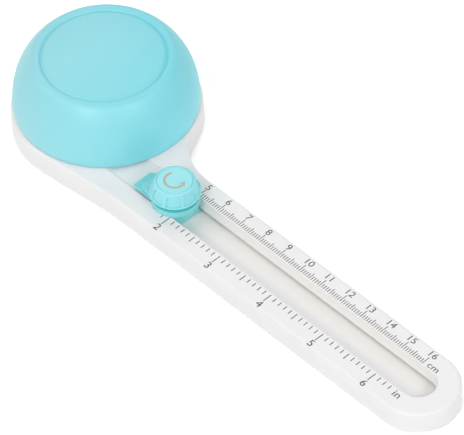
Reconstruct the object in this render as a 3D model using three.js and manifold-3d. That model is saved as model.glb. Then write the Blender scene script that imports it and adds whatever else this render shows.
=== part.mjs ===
// Circle cutter: a palm dome on a non-slip foot, a flat arm that swings round it, and a blade carriage
// that slides along the arm's slot, is locked by a lever and cuts while its button is pressed.
// Millimetres, +Z up. The origin is on the pivot's axis in the plane that the tool stands on, and the arm
// runs along +X. The arm's centreline passes beside the pivot, on the -Y side.
import * as THREE from "three";
import { mergeVertices } from "three/addons/utils/BufferGeometryUtils.js";
import Module from "manifold-3d";

const wasm = await Module();
wasm.setup();

// Fits and cutting
const seatGap = 0.1; // between pieces that are screwed or pressed together
const runGap = 0.25; // between pieces that slide or turn on each other
const cutOverrun = 1; // how far a cutter passes the face it opens
const edgeBreak = 0.3; // bevel on the edges of turned pieces
const roundSteps = 48; // sides of the large round pieces
const ringSteps = 36; // sides of the rings and discs inside
const smallRoundSteps = 24; // sides of the small round pieces
const screwSteps = 12; // sides of the screws and their holes
const arcStep = THREE.MathUtils.degToRad(9); // turn of one side in an outline's arc
const cornerStep = THREE.MathUtils.degToRad(30); // the same in a small corner
const taperStep = THREE.MathUtils.degToRad(2.5); // the same in the wide taper
const cornerSteps = 4; // sides of a freely drawn corner
const edgeSteps = 2; // facets across a rounded edge

// Arm
const armLift = 1; // underside of the arm above the table
const armThickness = 8.6;
const armHalfWidth = 14.75;
const armTipX = 171; // centre of the round tip and of the slot's round end
const armEdgeRound = 1.2;
const armWall = 1.8;
const armTopWall = 2.4;
const headRadius = 33.85;
const headOverhang = 3.75; // edge of the head beyond the arm's straight side at -Y
const armSideOffset = headRadius - headOverhang - armHalfWidth; // centreline of the arm to the pivot's axis
const headTaperAngle = THREE.MathUtils.degToRad(6.5); // of the straight that leaves the head on the -Y side
const taperFilletRadius = 150;
const neckFilletRadius = 22;

// Slot and the shallow channel that runs on from it under the dome
const slotHalfWidth = 6.55;
const slotWall = 1.6;
const slotWallDepth = 5.2;
const slotEdgeChamfer = 0.35;
const channelRibOffset = 1.1; // walls that stiffen the channel's floor, beyond its sides
const slotStartX = 46;
const slotStartRound = 0.8;
const channelUnderlap = 9.1; // channel under the dome, from the dome's edge
const channelDepth = 1.2;

// Bottom plate, its blade slit and its screws
const plateThickness = 2.1;
const bladeInset = 2.05; // blade to the slot's -Y side, out of sight under the slot's edge
const slitClearance = 0.5; // slit to the blade's edges
const slitReach = 2.2; // slit beyond the blade's travel at each end
const screwRadius = 0.9;
const screwHeadRadius = 1.7;
const screwHeadDepth = 1;
const screwLength = 5.6;
const bossRadius = 2;
const armScrewInset = 1.85; // screws along the arm to its inner wall
const armScrewOffset = armHalfWidth - armWall - armScrewInset;
const armScrewNearReach = 32; // beyond the slot's start
const armScrewFarReach = 31; // before the centre of the round tip
const headScrewInset = 2.55; // screws in the head to its inner wall
const headScrewCircle = headRadius - armWall - headScrewInset;
const headScrewAngle = THREE.MathUtils.degToRad(125);
const tipFootRadius = 3;
const tipFootInset = 1.75; // to the tip's inner wall
const tipFootAngle = THREE.MathUtils.degToRad(43); // from the arm's centreline, about the round tip's centre
const tipFootRecess = 0.8;

// Pivot: foot, bearing and thrust rings
const plateRingWidth = 5.3; // bottom plate round the foot
const footRadius = headRadius - armWall - plateRingWidth - 3 * runGap;
const padInset = 2; // pad to the foot's edge
const padRadius = footRadius - padInset;
const padThickness = 1.3;
const footRimHeight = 2.2;
const footLift = 0.8; // rim of the foot above the table
const spigotRadius = 12.9;
const spigotWall = 2;
const footScrewBossWall = 2.9;
const bushingWall = 2;
const hubWall = 2.2;
const washerRadius = 20;
const washerThickness = 0.5;

// Dome
const domeInset = 0.75; // dome to the head's edge
const domeRadius = headRadius - domeInset;
const domeRimInset = 0.4; // rim to the dome's widest
const domeRimRound = 0.7;
const domeRimGap = 0.35; // rim above the arm's top
const domeCurveHeight = 30.8; // height to which the side's curve would close over the axis
const domeCurveShape = 2.39; // 2 is an ellipse, larger is squarer
const shoulderShare = 0.462; // where the side's curve meets the shoulder, as a share of its quarter turn
const shoulderRadius = 3.4;
const domeSideSteps = 7;
const shoulderSteps = 4;
const grooveSteps = 2;
const domeWall = 2.2;
const crestWidth = 0.68; // shoulder's crest to the rounded edge of the groove
const capRecessDepth = 2.6; // below the shoulder's crest
const grooveRound = 0.5;
const capGap = 0.2; // groove between the cap and its recess
const capEdgeRound = 0.7;
const capEdgeDrop = 0.5; // edge of the cap below the shoulder's crest
const capCrown = 2.3;
const capWall = 1.7;
const capEdgeEnd = 70; // degrees at which the cap's rounded edge meets its crown
const crownSteps = 5;
const crownUndersideSteps = 3;
const domeFlangeThickness = 2.4;
const screwWellWall = 1.4;
const domeRibCount = 6;
const domeRibThickness = 1.6;
const domeRibLift = 4; // ribs above the flange's underside
const pivotScrewRadius = 2;
const pivotScrewHeadOverhang = 1.9;
const pivotScrewHeadHeight = 2.4;
const pivotScrewCrownShare = 0.7; // flat top of the head, as a share of the head's width
const pivotScrewRecess = 1.2; // depth and half the width of the drive in the head
const pivotScrewReach = 7; // shank below the spigot's top
const pivotWasherOverhang = 1.1; // washer beyond the screw's head
const pivotWasherThickness = 0.8;
const screwWellGap = 0.6; // washer to the well's wall
const screwWellDepth = 9;

// Carriage
const carriageStartGap = 0.4; // at rest, block to the near end of the slot
const carriageHalfLength = 5.6;
const carriageWall = 2.05; // block's end walls beside the plunger's foot
const carriageFlangeReach = 0.65; // flanges beyond the slot's walls
const carriageFlangeThickness = 0.8;
const carriageEdgeRound = 0.5;
const carriageTopDrop = 0.2; // top of the block below the arm's top
const neckRadius = 5;
const neckHeight = 3.6; // above the arm's top
const stemRadius = 2.6;

// Lock lever and the ring below it
const clampWasherThickness = 0.3;
const clampWasherInset = 0.4; // washer to the lever ring's edge
const leverRingWidth = 2.75;
const leverThickness = 1.7;
const leverTabLength = 6.7; // beyond the ring
const leverTipHalfWidth = 3.9;
const leverRootInset = 1.6; // tab's flanks at the axis, inside the ring's edge
const leverCornerRound = 0.8;
const leverAngle = THREE.MathUtils.degToRad(191); // locked, as it stands at rest
const leverEdgeRound = 0.3;
const leverArrowHeight = 0.25;
const leverArrowLength = 3.8;
const leverArrowHalfWidth = 2.3;
const leverArrowInset = 1.4; // point of the arrow to the end of the tab

// Button, plunger, blade and spring
const buttonRimRadius = 9.1;
const buttonRimGap = 1.8; // above the lever's top
const buttonRimHeight = 0.7;
const buttonRimBreak = 0.2;
const buttonFlankSlope = 2; // shoulder inside the rim
const buttonTopStep = 0.8; // top face inside the shoulder
const buttonHeight = 6.5;
const buttonShoulderDrop = 1; // shoulder below the top face
const buttonLipWidth = 0.45;
const buttonLipHeight = 0.25;
const buttonWall = 1.4;
const buttonCeiling = 1.7;
const fluteCount = 8;
const fluteRadius = 12;
const fluteDepth = 0.6;
const fluteEndGap = 0.35; // ends of a flute to the rim and to the shoulder
const fluteTurn = THREE.MathUtils.degToRad(-44.5); // one flute's middle, from the arm's line
const fluteSteps = 72;
const buttonSteps = 48; // six sides to each flute
const socketWall = 1.1;
const socketDepth = 3;
const stemTopStep = 0.6; // stem's thinner top inside the stem
const holderFootMargin = 0.6; // foot beyond the stem on the +Y side
const holderFootWall = 0.7; // foot beyond the blade's hole on the -Y side
const holderFootHeight = 2.5;
const holderFootLift = 2.3; // foot above the slot's floor
const bladeThickness = 0.45;
const bladeWidth = 1.6;
const bladeTipRecess = 0.15; // point above the arm's underside, at rest
const bladePointLength = 2.4;
const bladeTopDrop = 0.2; // blade's top below the foot's top
const grubRadius = 0.9;
const grubSlotWidth = 0.3;
const grubSlotDepth = 0.5;
const springWireRadius = 0.35;
const springTurns = 3.5;
const springInset = 0.7; // wire's centreline to the neck's edge
const springTurnSteps = 8;
const springWireSides = 5;

// Radii and places that follow from the sizes above
const carriageX = slotStartX + carriageStartGap + carriageHalfLength;
const carriageFlangeHalfWidth = slotHalfWidth + slotWall + carriageFlangeReach;
const bladeSideOffset = slotHalfWidth - bladeInset;
const slitHalfWidth = bladeWidth / 2 + slitClearance;
const channelStartX = domeRadius - channelUnderlap;
const footScrewBossRadius = pivotScrewRadius + seatGap + footScrewBossWall;
const pivotScrewHeadRadius = pivotScrewRadius + pivotScrewHeadOverhang;
const pivotWasherRadius = pivotScrewHeadRadius + pivotWasherOverhang;
const screwWellRadius = pivotWasherRadius + screwWellGap;
const domeColumnRadius = screwWellRadius + screwWellWall;
const domeRimRadius = domeRadius - domeRimInset;
const leverRingRadius = neckRadius + runGap + leverRingWidth;
const clampWasherRadius = leverRingRadius - clampWasherInset;
const leverReach = leverRingRadius + leverTabLength;
const leverRootHalfWidth = leverRingRadius - leverRootInset;
const buttonShoulderRadius = buttonRimRadius - buttonFlankSlope;
const buttonTopRadius = buttonShoulderRadius - buttonTopStep;
const stemTopRadius = stemRadius - stemTopStep;
const holderFootHalfLength = carriageHalfLength - carriageWall - runGap;
const holderFootFar = stemRadius + holderFootMargin; // reach on the +Y side of the axis
const holderFootNear = bladeSideOffset + bladeWidth / 2 + seatGap + holderFootWall; // reach on the -Y side
const springRadius = neckRadius - springInset;

// Levels that several pieces share
const armTopZ = armLift + armThickness;
const slotFloorZ = armLift + plateThickness;
const slotWallFootZ = armTopZ - slotWallDepth;
const shellCeilingZ = armTopZ - armTopWall;
const footTopZ = footLift + footRimHeight;
const hubFootZ = footTopZ + washerThickness + 2 * seatGap;
const flangeZ = armTopZ + washerThickness + 2 * seatGap;
const domeRimZ = armTopZ + domeRimGap;
const leverFootZ = armTopZ + clampWasherThickness + 2 * seatGap;
const leverTopZ = leverFootZ + leverThickness;
const neckTopZ = armTopZ + neckHeight;
const buttonRimZ = leverTopZ + buttonRimGap;
const buttonTopZ = buttonRimZ + buttonHeight;
const buttonCeilingZ = buttonTopZ - buttonCeiling;
const socketFootZ = buttonCeilingZ - socketDepth;
const holderFootZ = slotFloorZ + holderFootLift;
const holderFootTopZ = holderFootZ + holderFootHeight;
const bladeY = -armSideOffset - bladeSideOffset;
const domeProfile = domeSide();
const crestZ = domeProfile.crestZ;
const capRecessRadius = domeProfile.crestRadius - crestWidth - grooveRound;
const capRadius = capRecessRadius - capGap;
const capRecessZ = crestZ - capRecessDepth;
const screwWellZ = capRecessZ - screwWellDepth;

// Colours
const teal = 0x8fdfe6;
const white = 0xf2f2f2;
const steel = 0xb9bcc0;

// A closed solid from a three.js geometry, turned the right way out.
function solid(geometry) {
  const plain = geometry.clone();
  plain.deleteAttribute("normal");
  plain.deleteAttribute("uv");
  const merged = mergeVertices(plain);
  const vertProperties = merged.attributes.position.array;
  const triVerts = Uint32Array.from(merged.index.array);
  if (signedVolume(vertProperties, triVerts) < 0) {
    triVerts.reverse();
  }
  return new wasm.Manifold(new wasm.Mesh({ numProp: 3, vertProperties, triVerts }));
}

function signedVolume(points, triangles) {
  const corner = (i) => new THREE.Vector3().fromArray(points, triangles[i] * 3);
  let sum = 0;
  for (let i = 0; i < triangles.length; i += 3) {
    sum += corner(i).dot(corner(i + 1).cross(corner(i + 2)));
  }
  return sum;
}

// The three.js geometry of a finished solid.
function geometryOf(body) {
  const mesh = body.getMesh();
  const geometry = new THREE.BufferGeometry();
  geometry.setAttribute("position", new THREE.BufferAttribute(mesh.vertProperties, mesh.numProp));
  geometry.setIndex(new THREE.BufferAttribute(mesh.triVerts, 1));
  geometry.computeVertexNormals();
  return geometry;
}

// A solid of revolution about the vertical line through (x, y). The profile is a list of [radius, z].
function turned(profile, steps = roundSteps, x = 0, y = 0) {
  const points = profile.map(([radius, z]) => new THREE.Vector2(radius, z));
  points.push(points[0].clone());
  const geometry = new THREE.LatheGeometry(points, steps);
  geometry.rotateX(Math.PI / 2);
  geometry.translate(x, y, 0);
  return solid(geometry);
}

// An upright plate with the given outline, between two heights, with rounded edges if asked for.
function upright(shape, lowZ, highZ, edgeRound = 0) {
  const geometry = new THREE.ExtrudeGeometry(shape, {
    depth: highZ - lowZ - 2 * edgeRound,
    bevelEnabled: edgeRound > 0,
    bevelThickness: edgeRound,
    bevelSize: edgeRound,
    bevelOffset: -edgeRound,
    bevelSegments: edgeSteps,
    curveSegments: cornerSteps,
  });
  geometry.translate(0, 0, lowZ + edgeRound);
  return solid(geometry);
}

function block(lowX, highX, lowY, highY, lowZ, highZ) {
  const geometry = new THREE.BoxGeometry(highX - lowX, highY - lowY, highZ - lowZ);
  geometry.translate((lowX + highX) / 2, (lowY + highY) / 2, (lowZ + highZ) / 2);
  return solid(geometry);
}

function disc(radius, lowZ, highZ, steps = smallRoundSteps, x = 0, y = 0) {
  const geometry = new THREE.CylinderGeometry(radius, radius, highZ - lowZ, steps);
  geometry.rotateX(Math.PI / 2);
  geometry.translate(x, y, (lowZ + highZ) / 2);
  return solid(geometry);
}

function ring(innerRadius, outerRadius, lowZ, highZ, steps, x = 0, y = 0) {
  const profile = [
    [innerRadius, lowZ],
    [outerRadius, lowZ],
    [outerRadius, highZ],
    [innerRadius, highZ],
  ];
  return turned(profile, steps, x, y);
}

function joined(bodies) {
  return bodies.reduce((whole, body) => whole.add(body));
}

// Points of an arc in an outline, from one angle to another.
function arcPoints(x, y, radius, from, to, step = arcStep) {
  const count = Math.ceil(Math.abs(to - from) / step);
  const points = [];
  for (let i = 0; i <= count; i += 1) {
    const angle = from + ((to - from) * i) / count;
    points.push(new THREE.Vector2(x + radius * Math.cos(angle), y + radius * Math.sin(angle)));
  }
  return points;
}

// An outline through the points, without those that fall on the next one.
function outlineOf(points) {
  const kept = points.filter((point, i) => point.distanceTo(points[(i + 1) % points.length]) > seatGap / 2);
  return new THREE.Shape(kept);
}

// Points of an arc for a turned profile, from one angle to another in degrees.
function profileArc(centreRadius, centreZ, radius, fromDegrees, toDegrees, steps) {
  const points = [];
  for (let i = 0; i <= steps; i += 1) {
    const angle = THREE.MathUtils.degToRad(fromDegrees + ((toDegrees - fromDegrees) * i) / steps);
    points.push([centreRadius + radius * Math.cos(angle), centreZ + radius * Math.sin(angle)]);
  }
  return points;
}

// Outline of the arm seen from above, drawn inwards by inset: round head, taper, straight sides, round tip.
function armOutline(inset) {
  const head = headRadius - inset;
  const halfWidth = armHalfWidth - inset;
  const nearSideY = -armSideOffset - halfWidth;
  const neckSideY = -armSideOffset + halfWidth;
  const fillet = neckFilletRadius + inset;
  const filletY = neckSideY + fillet;
  const filletX = Math.sqrt((head + fillet) ** 2 - filletY ** 2);
  const filletTurn = Math.atan2(filletY, filletX);
  const taperRound = taperFilletRadius - inset;
  const taperStart = new THREE.Vector2(Math.sin(headTaperAngle), -Math.cos(headTaperAngle)).multiplyScalar(head);
  const taperRun = (nearSideY - taperStart.y) / Math.tan(headTaperAngle);
  const taperTangent = taperRound * Math.tan(headTaperAngle / 2);
  const taperEndX = taperStart.x + taperRun + taperTangent;
  return outlineOf([
    ...arcPoints(armTipX, -armSideOffset, halfWidth, -Math.PI / 2, Math.PI / 2),
    ...arcPoints(filletX, filletY, fillet, -Math.PI / 2, filletTurn - Math.PI),
    ...arcPoints(0, 0, head, filletTurn, 1.5 * Math.PI + headTaperAngle),
    ...arcPoints(taperEndX, nearSideY - taperRound, taperRound, Math.PI / 2 + headTaperAngle, Math.PI / 2, taperStep),
  ]);
}

// Outline of the slot, drawn outwards by outset: a square near end with round corners and a round far end.
function slotOutline(outset) {
  const halfWidth = slotHalfWidth + outset;
  const corner = slotStartRound + outset;
  const cornerX = slotStartX - outset + corner;
  const cornerY = halfWidth - corner;
  return outlineOf([
    ...arcPoints(armTipX, -armSideOffset, halfWidth, -Math.PI / 2, Math.PI / 2),
    ...arcPoints(cornerX, -armSideOffset + cornerY, corner, Math.PI / 2, Math.PI, cornerStep),
    ...arcPoints(cornerX, -armSideOffset - cornerY, corner, Math.PI, 1.5 * Math.PI, cornerStep),
  ]);
}

// Places of the six screws that hold the bottom plate, as [x, y].
function armScrewPlaces() {
  const places = [];
  for (const x of [slotStartX + armScrewNearReach, armTipX - armScrewFarReach]) {
    for (const side of [-1, 1]) {
      places.push([x, -armSideOffset + side * armScrewOffset]);
    }
  }
  for (const side of [-1, 1]) {
    const angle = side * headScrewAngle;
    places.push([headScrewCircle * Math.cos(angle), headScrewCircle * Math.sin(angle)]);
  }
  return places;
}

// Upper moulding of the arm: an outer wall, a top, walls round the slot, screw bosses and the hub.
function armTopShell() {
  const skin = upright(armOutline(0), armLift - armEdgeRound, armTopZ, armEdgeRound);
  const trim = block(-headRadius - cutOverrun, armTipX + headRadius, -headRadius - cutOverrun,
    headRadius + cutOverrun, armLift - armEdgeRound - cutOverrun, armLift);
  const hollow = upright(armOutline(armWall), armLift - cutOverrun, shellCeilingZ);
  const channelFloor = block(channelStartX - armWall, slotStartX + slotWall,
    -armSideOffset - slotHalfWidth - channelRibOffset, -armSideOffset + slotHalfWidth + channelRibOffset,
    shellCeilingZ - channelDepth, shellCeilingZ + cutOverrun / 2);
  const slotRib = upright(slotOutline(slotWall), slotWallFootZ, shellCeilingZ + cutOverrun / 2);
  const bosses = armScrewPlaces().map(([x, y]) =>
    disc(bossRadius, slotFloorZ + seatGap, shellCeilingZ + cutOverrun / 2, screwSteps, x, y));
  const hubRadius = spigotRadius + runGap + bushingWall + seatGap;
  const hub = disc(hubRadius + hubWall, hubFootZ, shellCeilingZ + cutOverrun / 2, ringSteps);
  const inner = joined([channelFloor, slotRib, hub, ...bosses]);
  const slotCut = upright(slotOutline(0), armLift, armTopZ + cutOverrun);
  const slotEdge = slotChamferCutter();
  const channel = block(channelStartX, slotStartX + slotStartRound + slotEdgeChamfer,
    -armSideOffset - slotHalfWidth, -armSideOffset + slotHalfWidth, armTopZ - channelDepth, armTopZ + cutOverrun);
  const hubBore = disc(hubRadius, armLift, armTopZ + cutOverrun, ringSteps);
  const pilots = armScrewPlaces().map(([x, y]) =>
    disc(screwRadius + seatGap, armLift, armLift + screwLength + seatGap, screwSteps, x, y));
  return skin.subtract(trim).subtract(hollow).add(inner).subtract(slotCut)
    .subtract(slotEdge).subtract(channel).subtract(hubBore).subtract(joined(pilots));
}

// Cutter that breaks the slot's upper edge. Its outline is the slot's below and wider above.
function slotChamferCutter() {
  const geometry = new THREE.ExtrudeGeometry(slotOutline(0), {
    depth: cutOverrun,
    bevelThickness: slotEdgeChamfer,
    bevelSize: slotEdgeChamfer,
    bevelSegments: 1,
  });
  geometry.translate(0, 0, armTopZ);
  return solid(geometry);
}

// Plate that closes the arm below. Its top is the slot's floor, and the blade works through its slit.
function armBottomPlate() {
  const plate = upright(armOutline(armWall + runGap), armLift, slotFloorZ);
  const footHole = disc(footRadius + 2 * runGap, armLift - cutOverrun, slotFloorZ + cutOverrun, roundSteps);
  const bladeFarX = carriageX + carriageTravel();
  const slit = outlineOf([
    ...arcPoints(bladeFarX + slitReach, bladeY, slitHalfWidth, -Math.PI / 2, Math.PI / 2, cornerStep),
    ...arcPoints(carriageX - slitReach, bladeY, slitHalfWidth, Math.PI / 2, 1.5 * Math.PI, cornerStep),
  ]);
  const slitCut = upright(slit, armLift - cutOverrun, slotFloorZ + cutOverrun);
  const screwHoles = armScrewPlaces().map(([x, y]) => turned([
    [0, armLift - cutOverrun],
    [screwHeadRadius + seatGap, armLift - cutOverrun],
    [screwHeadRadius + seatGap, armLift + screwHeadDepth + seatGap],
    [screwRadius + seatGap, armLift + screwHeadDepth + seatGap],
    [screwRadius + seatGap, slotFloorZ + cutOverrun],
    [0, slotFloorZ + cutOverrun],
  ], screwSteps, x, y));
  const feet = tipFootPlaces().map(([x, y]) =>
    disc(tipFootRadius + seatGap, armLift - cutOverrun, armLift + tipFootRecess, smallRoundSteps, x, y));
  return plate.subtract(footHole).subtract(slitCut).subtract(joined([...screwHoles, ...feet]));
}

// How far the carriage slides before its square block meets the slot's round end.
function carriageTravel() {
  const blockHalfWidth = slotHalfWidth - runGap;
  const cornerReach = Math.sqrt(slotHalfWidth ** 2 - blockHalfWidth ** 2);
  return armTipX + cornerReach - carriageHalfLength - runGap - carriageX;
}

function armScrew([x, y]) {
  const driveRadius = screwHeadRadius / 2;
  const driveDepth = screwHeadDepth / 2;
  return turned([
    [0, armLift + driveDepth],
    [driveRadius, armLift + driveDepth],
    [driveRadius, armLift],
    [screwHeadRadius, armLift],
    [screwHeadRadius, armLift + screwHeadDepth],
    [screwRadius, armLift + screwHeadDepth],
    [screwRadius, armLift + screwLength - screwRadius],
    [0, armLift + screwLength],
  ], screwSteps, x, y);
}

function tipFootPlaces() {
  const circle = armHalfWidth - armWall - tipFootInset - tipFootRadius;
  return [-1, 1].map((side) => [
    armTipX + circle * Math.cos(tipFootAngle),
    -armSideOffset + side * circle * Math.sin(tipFootAngle),
  ]);
}

function tipFoot([x, y]) {
  return turned([
    [0, 0],
    [tipFootRadius - edgeBreak, 0],
    [tipFootRadius, edgeBreak],
    [tipFootRadius, armLift + tipFootRecess - seatGap],
    [0, armLift + tipFootRecess - seatGap],
  ], smallRoundSteps, x, y);
}

function nonSlipPad() {
  return turned([
    [0, 0],
    [padRadius - edgeBreak, 0],
    [padRadius, edgeBreak],
    [padRadius, padThickness],
    [0, padThickness],
  ], ringSteps);
}

// Foot with a recess for the pad below, a spigot that carries the arm, and a boss for the pivot screw.
function footDisc() {
  const recessZ = padThickness + seatGap;
  const spigotTopZ = flangeZ - seatGap;
  return turned([
    [0, recessZ],
    [padRadius + seatGap, recessZ],
    [padRadius + seatGap, footLift],
    [footRadius, footLift],
    [footRadius, footTopZ],
    [spigotRadius, footTopZ],
    [spigotRadius, spigotTopZ],
    [spigotRadius - spigotWall, spigotTopZ],
    [spigotRadius - spigotWall, footTopZ],
    [footScrewBossRadius, footTopZ],
    [footScrewBossRadius, spigotTopZ],
    [pivotScrewRadius + seatGap, spigotTopZ],
    [pivotScrewRadius + seatGap, spigotTopZ - pivotScrewReach - seatGap],
    [0, spigotTopZ - pivotScrewReach - seatGap],
  ], ringSteps);
}

function hubBushing() {
  const bore = spigotRadius + runGap;
  return ring(bore, bore + bushingWall, hubFootZ + seatGap, armTopZ - seatGap, ringSteps);
}

function thrustWasher(footZ) {
  return ring(spigotRadius + runGap, washerRadius, footZ, footZ + washerThickness, ringSteps);
}

// Side and shoulder of the dome as [radius, z], from the rim up to the crest beside the groove.
function domeSide() {
  const points = [];
  const power = 2 / domeCurveShape;
  let radius = 0;
  let z = 0;
  let turn = 0;
  for (let i = 1; i <= domeSideSteps; i += 1) {
    turn = (Math.PI / 2) * shoulderShare * (i / domeSideSteps);
    radius = domeRadius * Math.cos(turn) ** power;
    z = domeRimZ + domeCurveHeight * Math.sin(turn) ** power;
    points.push([radius, z]);
  }
  const normalRadius = Math.cos(turn) ** (2 - power) / domeRadius;
  const normalZ = Math.sin(turn) ** (2 - power) / domeCurveHeight;
  const slope = Math.atan2(normalZ, normalRadius);
  const centreRadius = radius - shoulderRadius * Math.cos(slope);
  const centreZ = z - shoulderRadius * Math.sin(slope);
  const slopeDegrees = THREE.MathUtils.radToDeg(slope);
  const arc = profileArc(centreRadius, centreZ, shoulderRadius, slopeDegrees, 90, shoulderSteps);
  return { points: [...points, ...arc.slice(1)], crestRadius: centreRadius, crestZ: centreZ + shoulderRadius };
}

// Palm grip: a shell with a recess for its cap, a screw column, a flange that holds the arm down, and ribs.
function palmDome() {
  const grooveCentreRadius = capRecessRadius + grooveRound;
  const grooveEdge = profileArc(grooveCentreRadius, crestZ - grooveRound, grooveRound, 90, 180, grooveSteps);
  const lastInnerZ = capRecessZ - domeWall;
  const innerSide = domeProfile.points
    .filter(([, z], i) => i % 2 === 1 && z < lastInnerZ && z > domeRimZ + domeRimRound)
    .map(([radius, z]) => [radius - domeWall, z])
    .reverse();
  const shell = turned([
    [domeRimRadius - domeWall, domeRimZ],
    [domeRimRadius - domeRimRound / 2, domeRimZ],
    [domeRimRadius, domeRimZ + domeRimRound / 2],
    ...domeProfile.points,
    ...grooveEdge,
    [capRecessRadius, capRecessZ],
    [screwWellRadius, capRecessZ],
    [screwWellRadius, screwWellZ],
    [pivotScrewRadius + seatGap, screwWellZ],
    [pivotScrewRadius + seatGap, flangeZ],
    [washerRadius, flangeZ],
    [washerRadius, flangeZ + domeFlangeThickness],
    [domeColumnRadius, flangeZ + domeFlangeThickness],
    [domeColumnRadius, lastInnerZ],
    ...innerSide,
  ]);
  const ribs = [];
  for (let i = 0; i < domeRibCount; i += 1) {
    ribs.push(domeRib((2 * Math.PI * i) / domeRibCount, lastInnerZ));
  }
  return shell.add(joined(ribs));
}

// One rib between the dome's column and its side.
function domeRib(angle, ceilingZ) {
  const reach = domeRadius - 2 * domeWall;
  const sideTopRadius = capRecessRadius;
  const shape = new THREE.Shape();
  shape.moveTo(domeColumnRadius - domeWall / 2, flangeZ + domeFlangeThickness / 2);
  shape.lineTo(washerRadius, flangeZ + domeFlangeThickness / 2);
  shape.lineTo(reach, flangeZ + domeRibLift);
  shape.lineTo(reach, (flangeZ + ceilingZ) / 2);
  shape.lineTo(sideTopRadius, ceilingZ + domeWall / 2);
  shape.lineTo(domeColumnRadius - domeWall / 2, ceilingZ + domeWall / 2);
  shape.closePath();
  const geometry = new THREE.ExtrudeGeometry(shape, { depth: domeRibThickness, bevelEnabled: false });
  geometry.translate(0, 0, -domeRibThickness / 2);
  geometry.rotateX(Math.PI / 2);
  geometry.rotateZ(angle);
  return solid(geometry);
}

// Crowned disc that closes the recess on top of the dome.
function domeTopCap() {
  const footZ = capRecessZ + seatGap;
  const edgeZ = crestZ - capEdgeDrop;
  const crownRadius = (capRadius ** 2 + capCrown ** 2) / (2 * capCrown);
  const crownCentreZ = edgeZ + capCrown - crownRadius;
  const edgeDegrees = THREE.MathUtils.radToDeg(Math.atan2(edgeZ - crownCentreZ, capRadius - capEdgeRound));
  const crown = profileArc(0, crownCentreZ, crownRadius, edgeDegrees, 90, crownSteps);
  const edge = profileArc(capRadius - capEdgeRound, edgeZ - capEdgeRound, capEdgeRound, 0, capEdgeEnd, edgeSteps);
  const under = profileArc(0, crownCentreZ, crownRadius - capWall, 90, edgeDegrees, crownUndersideSteps)
    .filter(([, z]) => z > footZ + seatGap);
  const rimRadius = under[under.length - 1][0];
  return turned([...edge, ...crown.slice(1), ...under, [rimRadius, footZ], [capRadius, footZ]]);
}

function pivotScrew() {
  const seatZ = screwWellZ + pivotWasherThickness + 2 * seatGap;
  const headTopZ = seatZ + pivotScrewHeadHeight;
  const tipZ = flangeZ - pivotScrewReach;
  return turned([
    [0, tipZ],
    [pivotScrewRadius, tipZ + pivotScrewRadius / 2],
    [pivotScrewRadius, seatZ],
    [pivotScrewHeadRadius, seatZ],
    [pivotScrewHeadRadius, headTopZ - pivotScrewHeadHeight / 3],
    [pivotScrewHeadRadius * pivotScrewCrownShare, headTopZ],
    [pivotScrewRecess, headTopZ],
    [0, headTopZ - pivotScrewRecess],
  ], smallRoundSteps);
}

function pivotScrewWasher() {
  const footZ = screwWellZ + seatGap;
  return ring(pivotScrewRadius + seatGap, pivotWasherRadius, footZ, footZ + pivotWasherThickness, smallRoundSteps);
}

// Block that runs between the slot's walls, with flanges under them, a neck and room for the plunger.
function carriageBody() {
  const y = -armSideOffset;
  const halfWidth = slotHalfWidth - runGap;
  const footZ = slotFloorZ + runGap;
  const flangeTopZ = footZ + carriageFlangeThickness;
  const topZ = armTopZ - carriageTopDrop;
  const cavityX = holderFootHalfLength + runGap;
  const cavityTopZ = holderFootTopZ + runGap;
  const cavityNear = holderFootNear + runGap;
  const core = upright(roundedBox(carriageX, y, carriageHalfLength, halfWidth, carriageEdgeRound), footZ, topZ);
  const flange = block(carriageX - carriageHalfLength, carriageX + carriageHalfLength,
    y - carriageFlangeHalfWidth, y + carriageFlangeHalfWidth, footZ, flangeTopZ);
  const neck = turned([
    [0, topZ - cutOverrun],
    [neckRadius, topZ - cutOverrun],
    [neckRadius, neckTopZ - edgeBreak],
    [neckRadius - edgeBreak, neckTopZ],
    [0, neckTopZ],
  ], smallRoundSteps, carriageX, y);
  const bore = disc(stemRadius + runGap, footZ, neckTopZ + cutOverrun, smallRoundSteps, carriageX, y);
  const lowCavity = block(carriageX - cavityX, carriageX + cavityX, y - cavityNear, y + holderFootFar + runGap,
    footZ - cutOverrun, cavityTopZ);
  const sideCavity = block(carriageX - cavityX, carriageX + cavityX, y - halfWidth - cutOverrun, y,
    flangeTopZ, cavityTopZ);
  return joined([core, flange, neck]).subtract(bore).subtract(lowCavity).subtract(sideCavity);
}

function roundedBox(x, y, halfLength, halfWidth, corner) {
  const cornerX = halfLength - corner;
  const cornerY = halfWidth - corner;
  return outlineOf([
    ...arcPoints(x + cornerX, y - cornerY, corner, -Math.PI / 2, 0, cornerStep),
    ...arcPoints(x + cornerX, y + cornerY, corner, 0, Math.PI / 2, cornerStep),
    ...arcPoints(x - cornerX, y + cornerY, corner, Math.PI / 2, Math.PI, cornerStep),
    ...arcPoints(x - cornerX, y - cornerY, corner, Math.PI, 1.5 * Math.PI, cornerStep),
  ]);
}

function clampWasher() {
  const footZ = armTopZ + seatGap;
  return ring(neckRadius + runGap, clampWasherRadius, footZ, footZ + clampWasherThickness, smallRoundSteps,
    carriageX, -armSideOffset);
}

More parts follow.
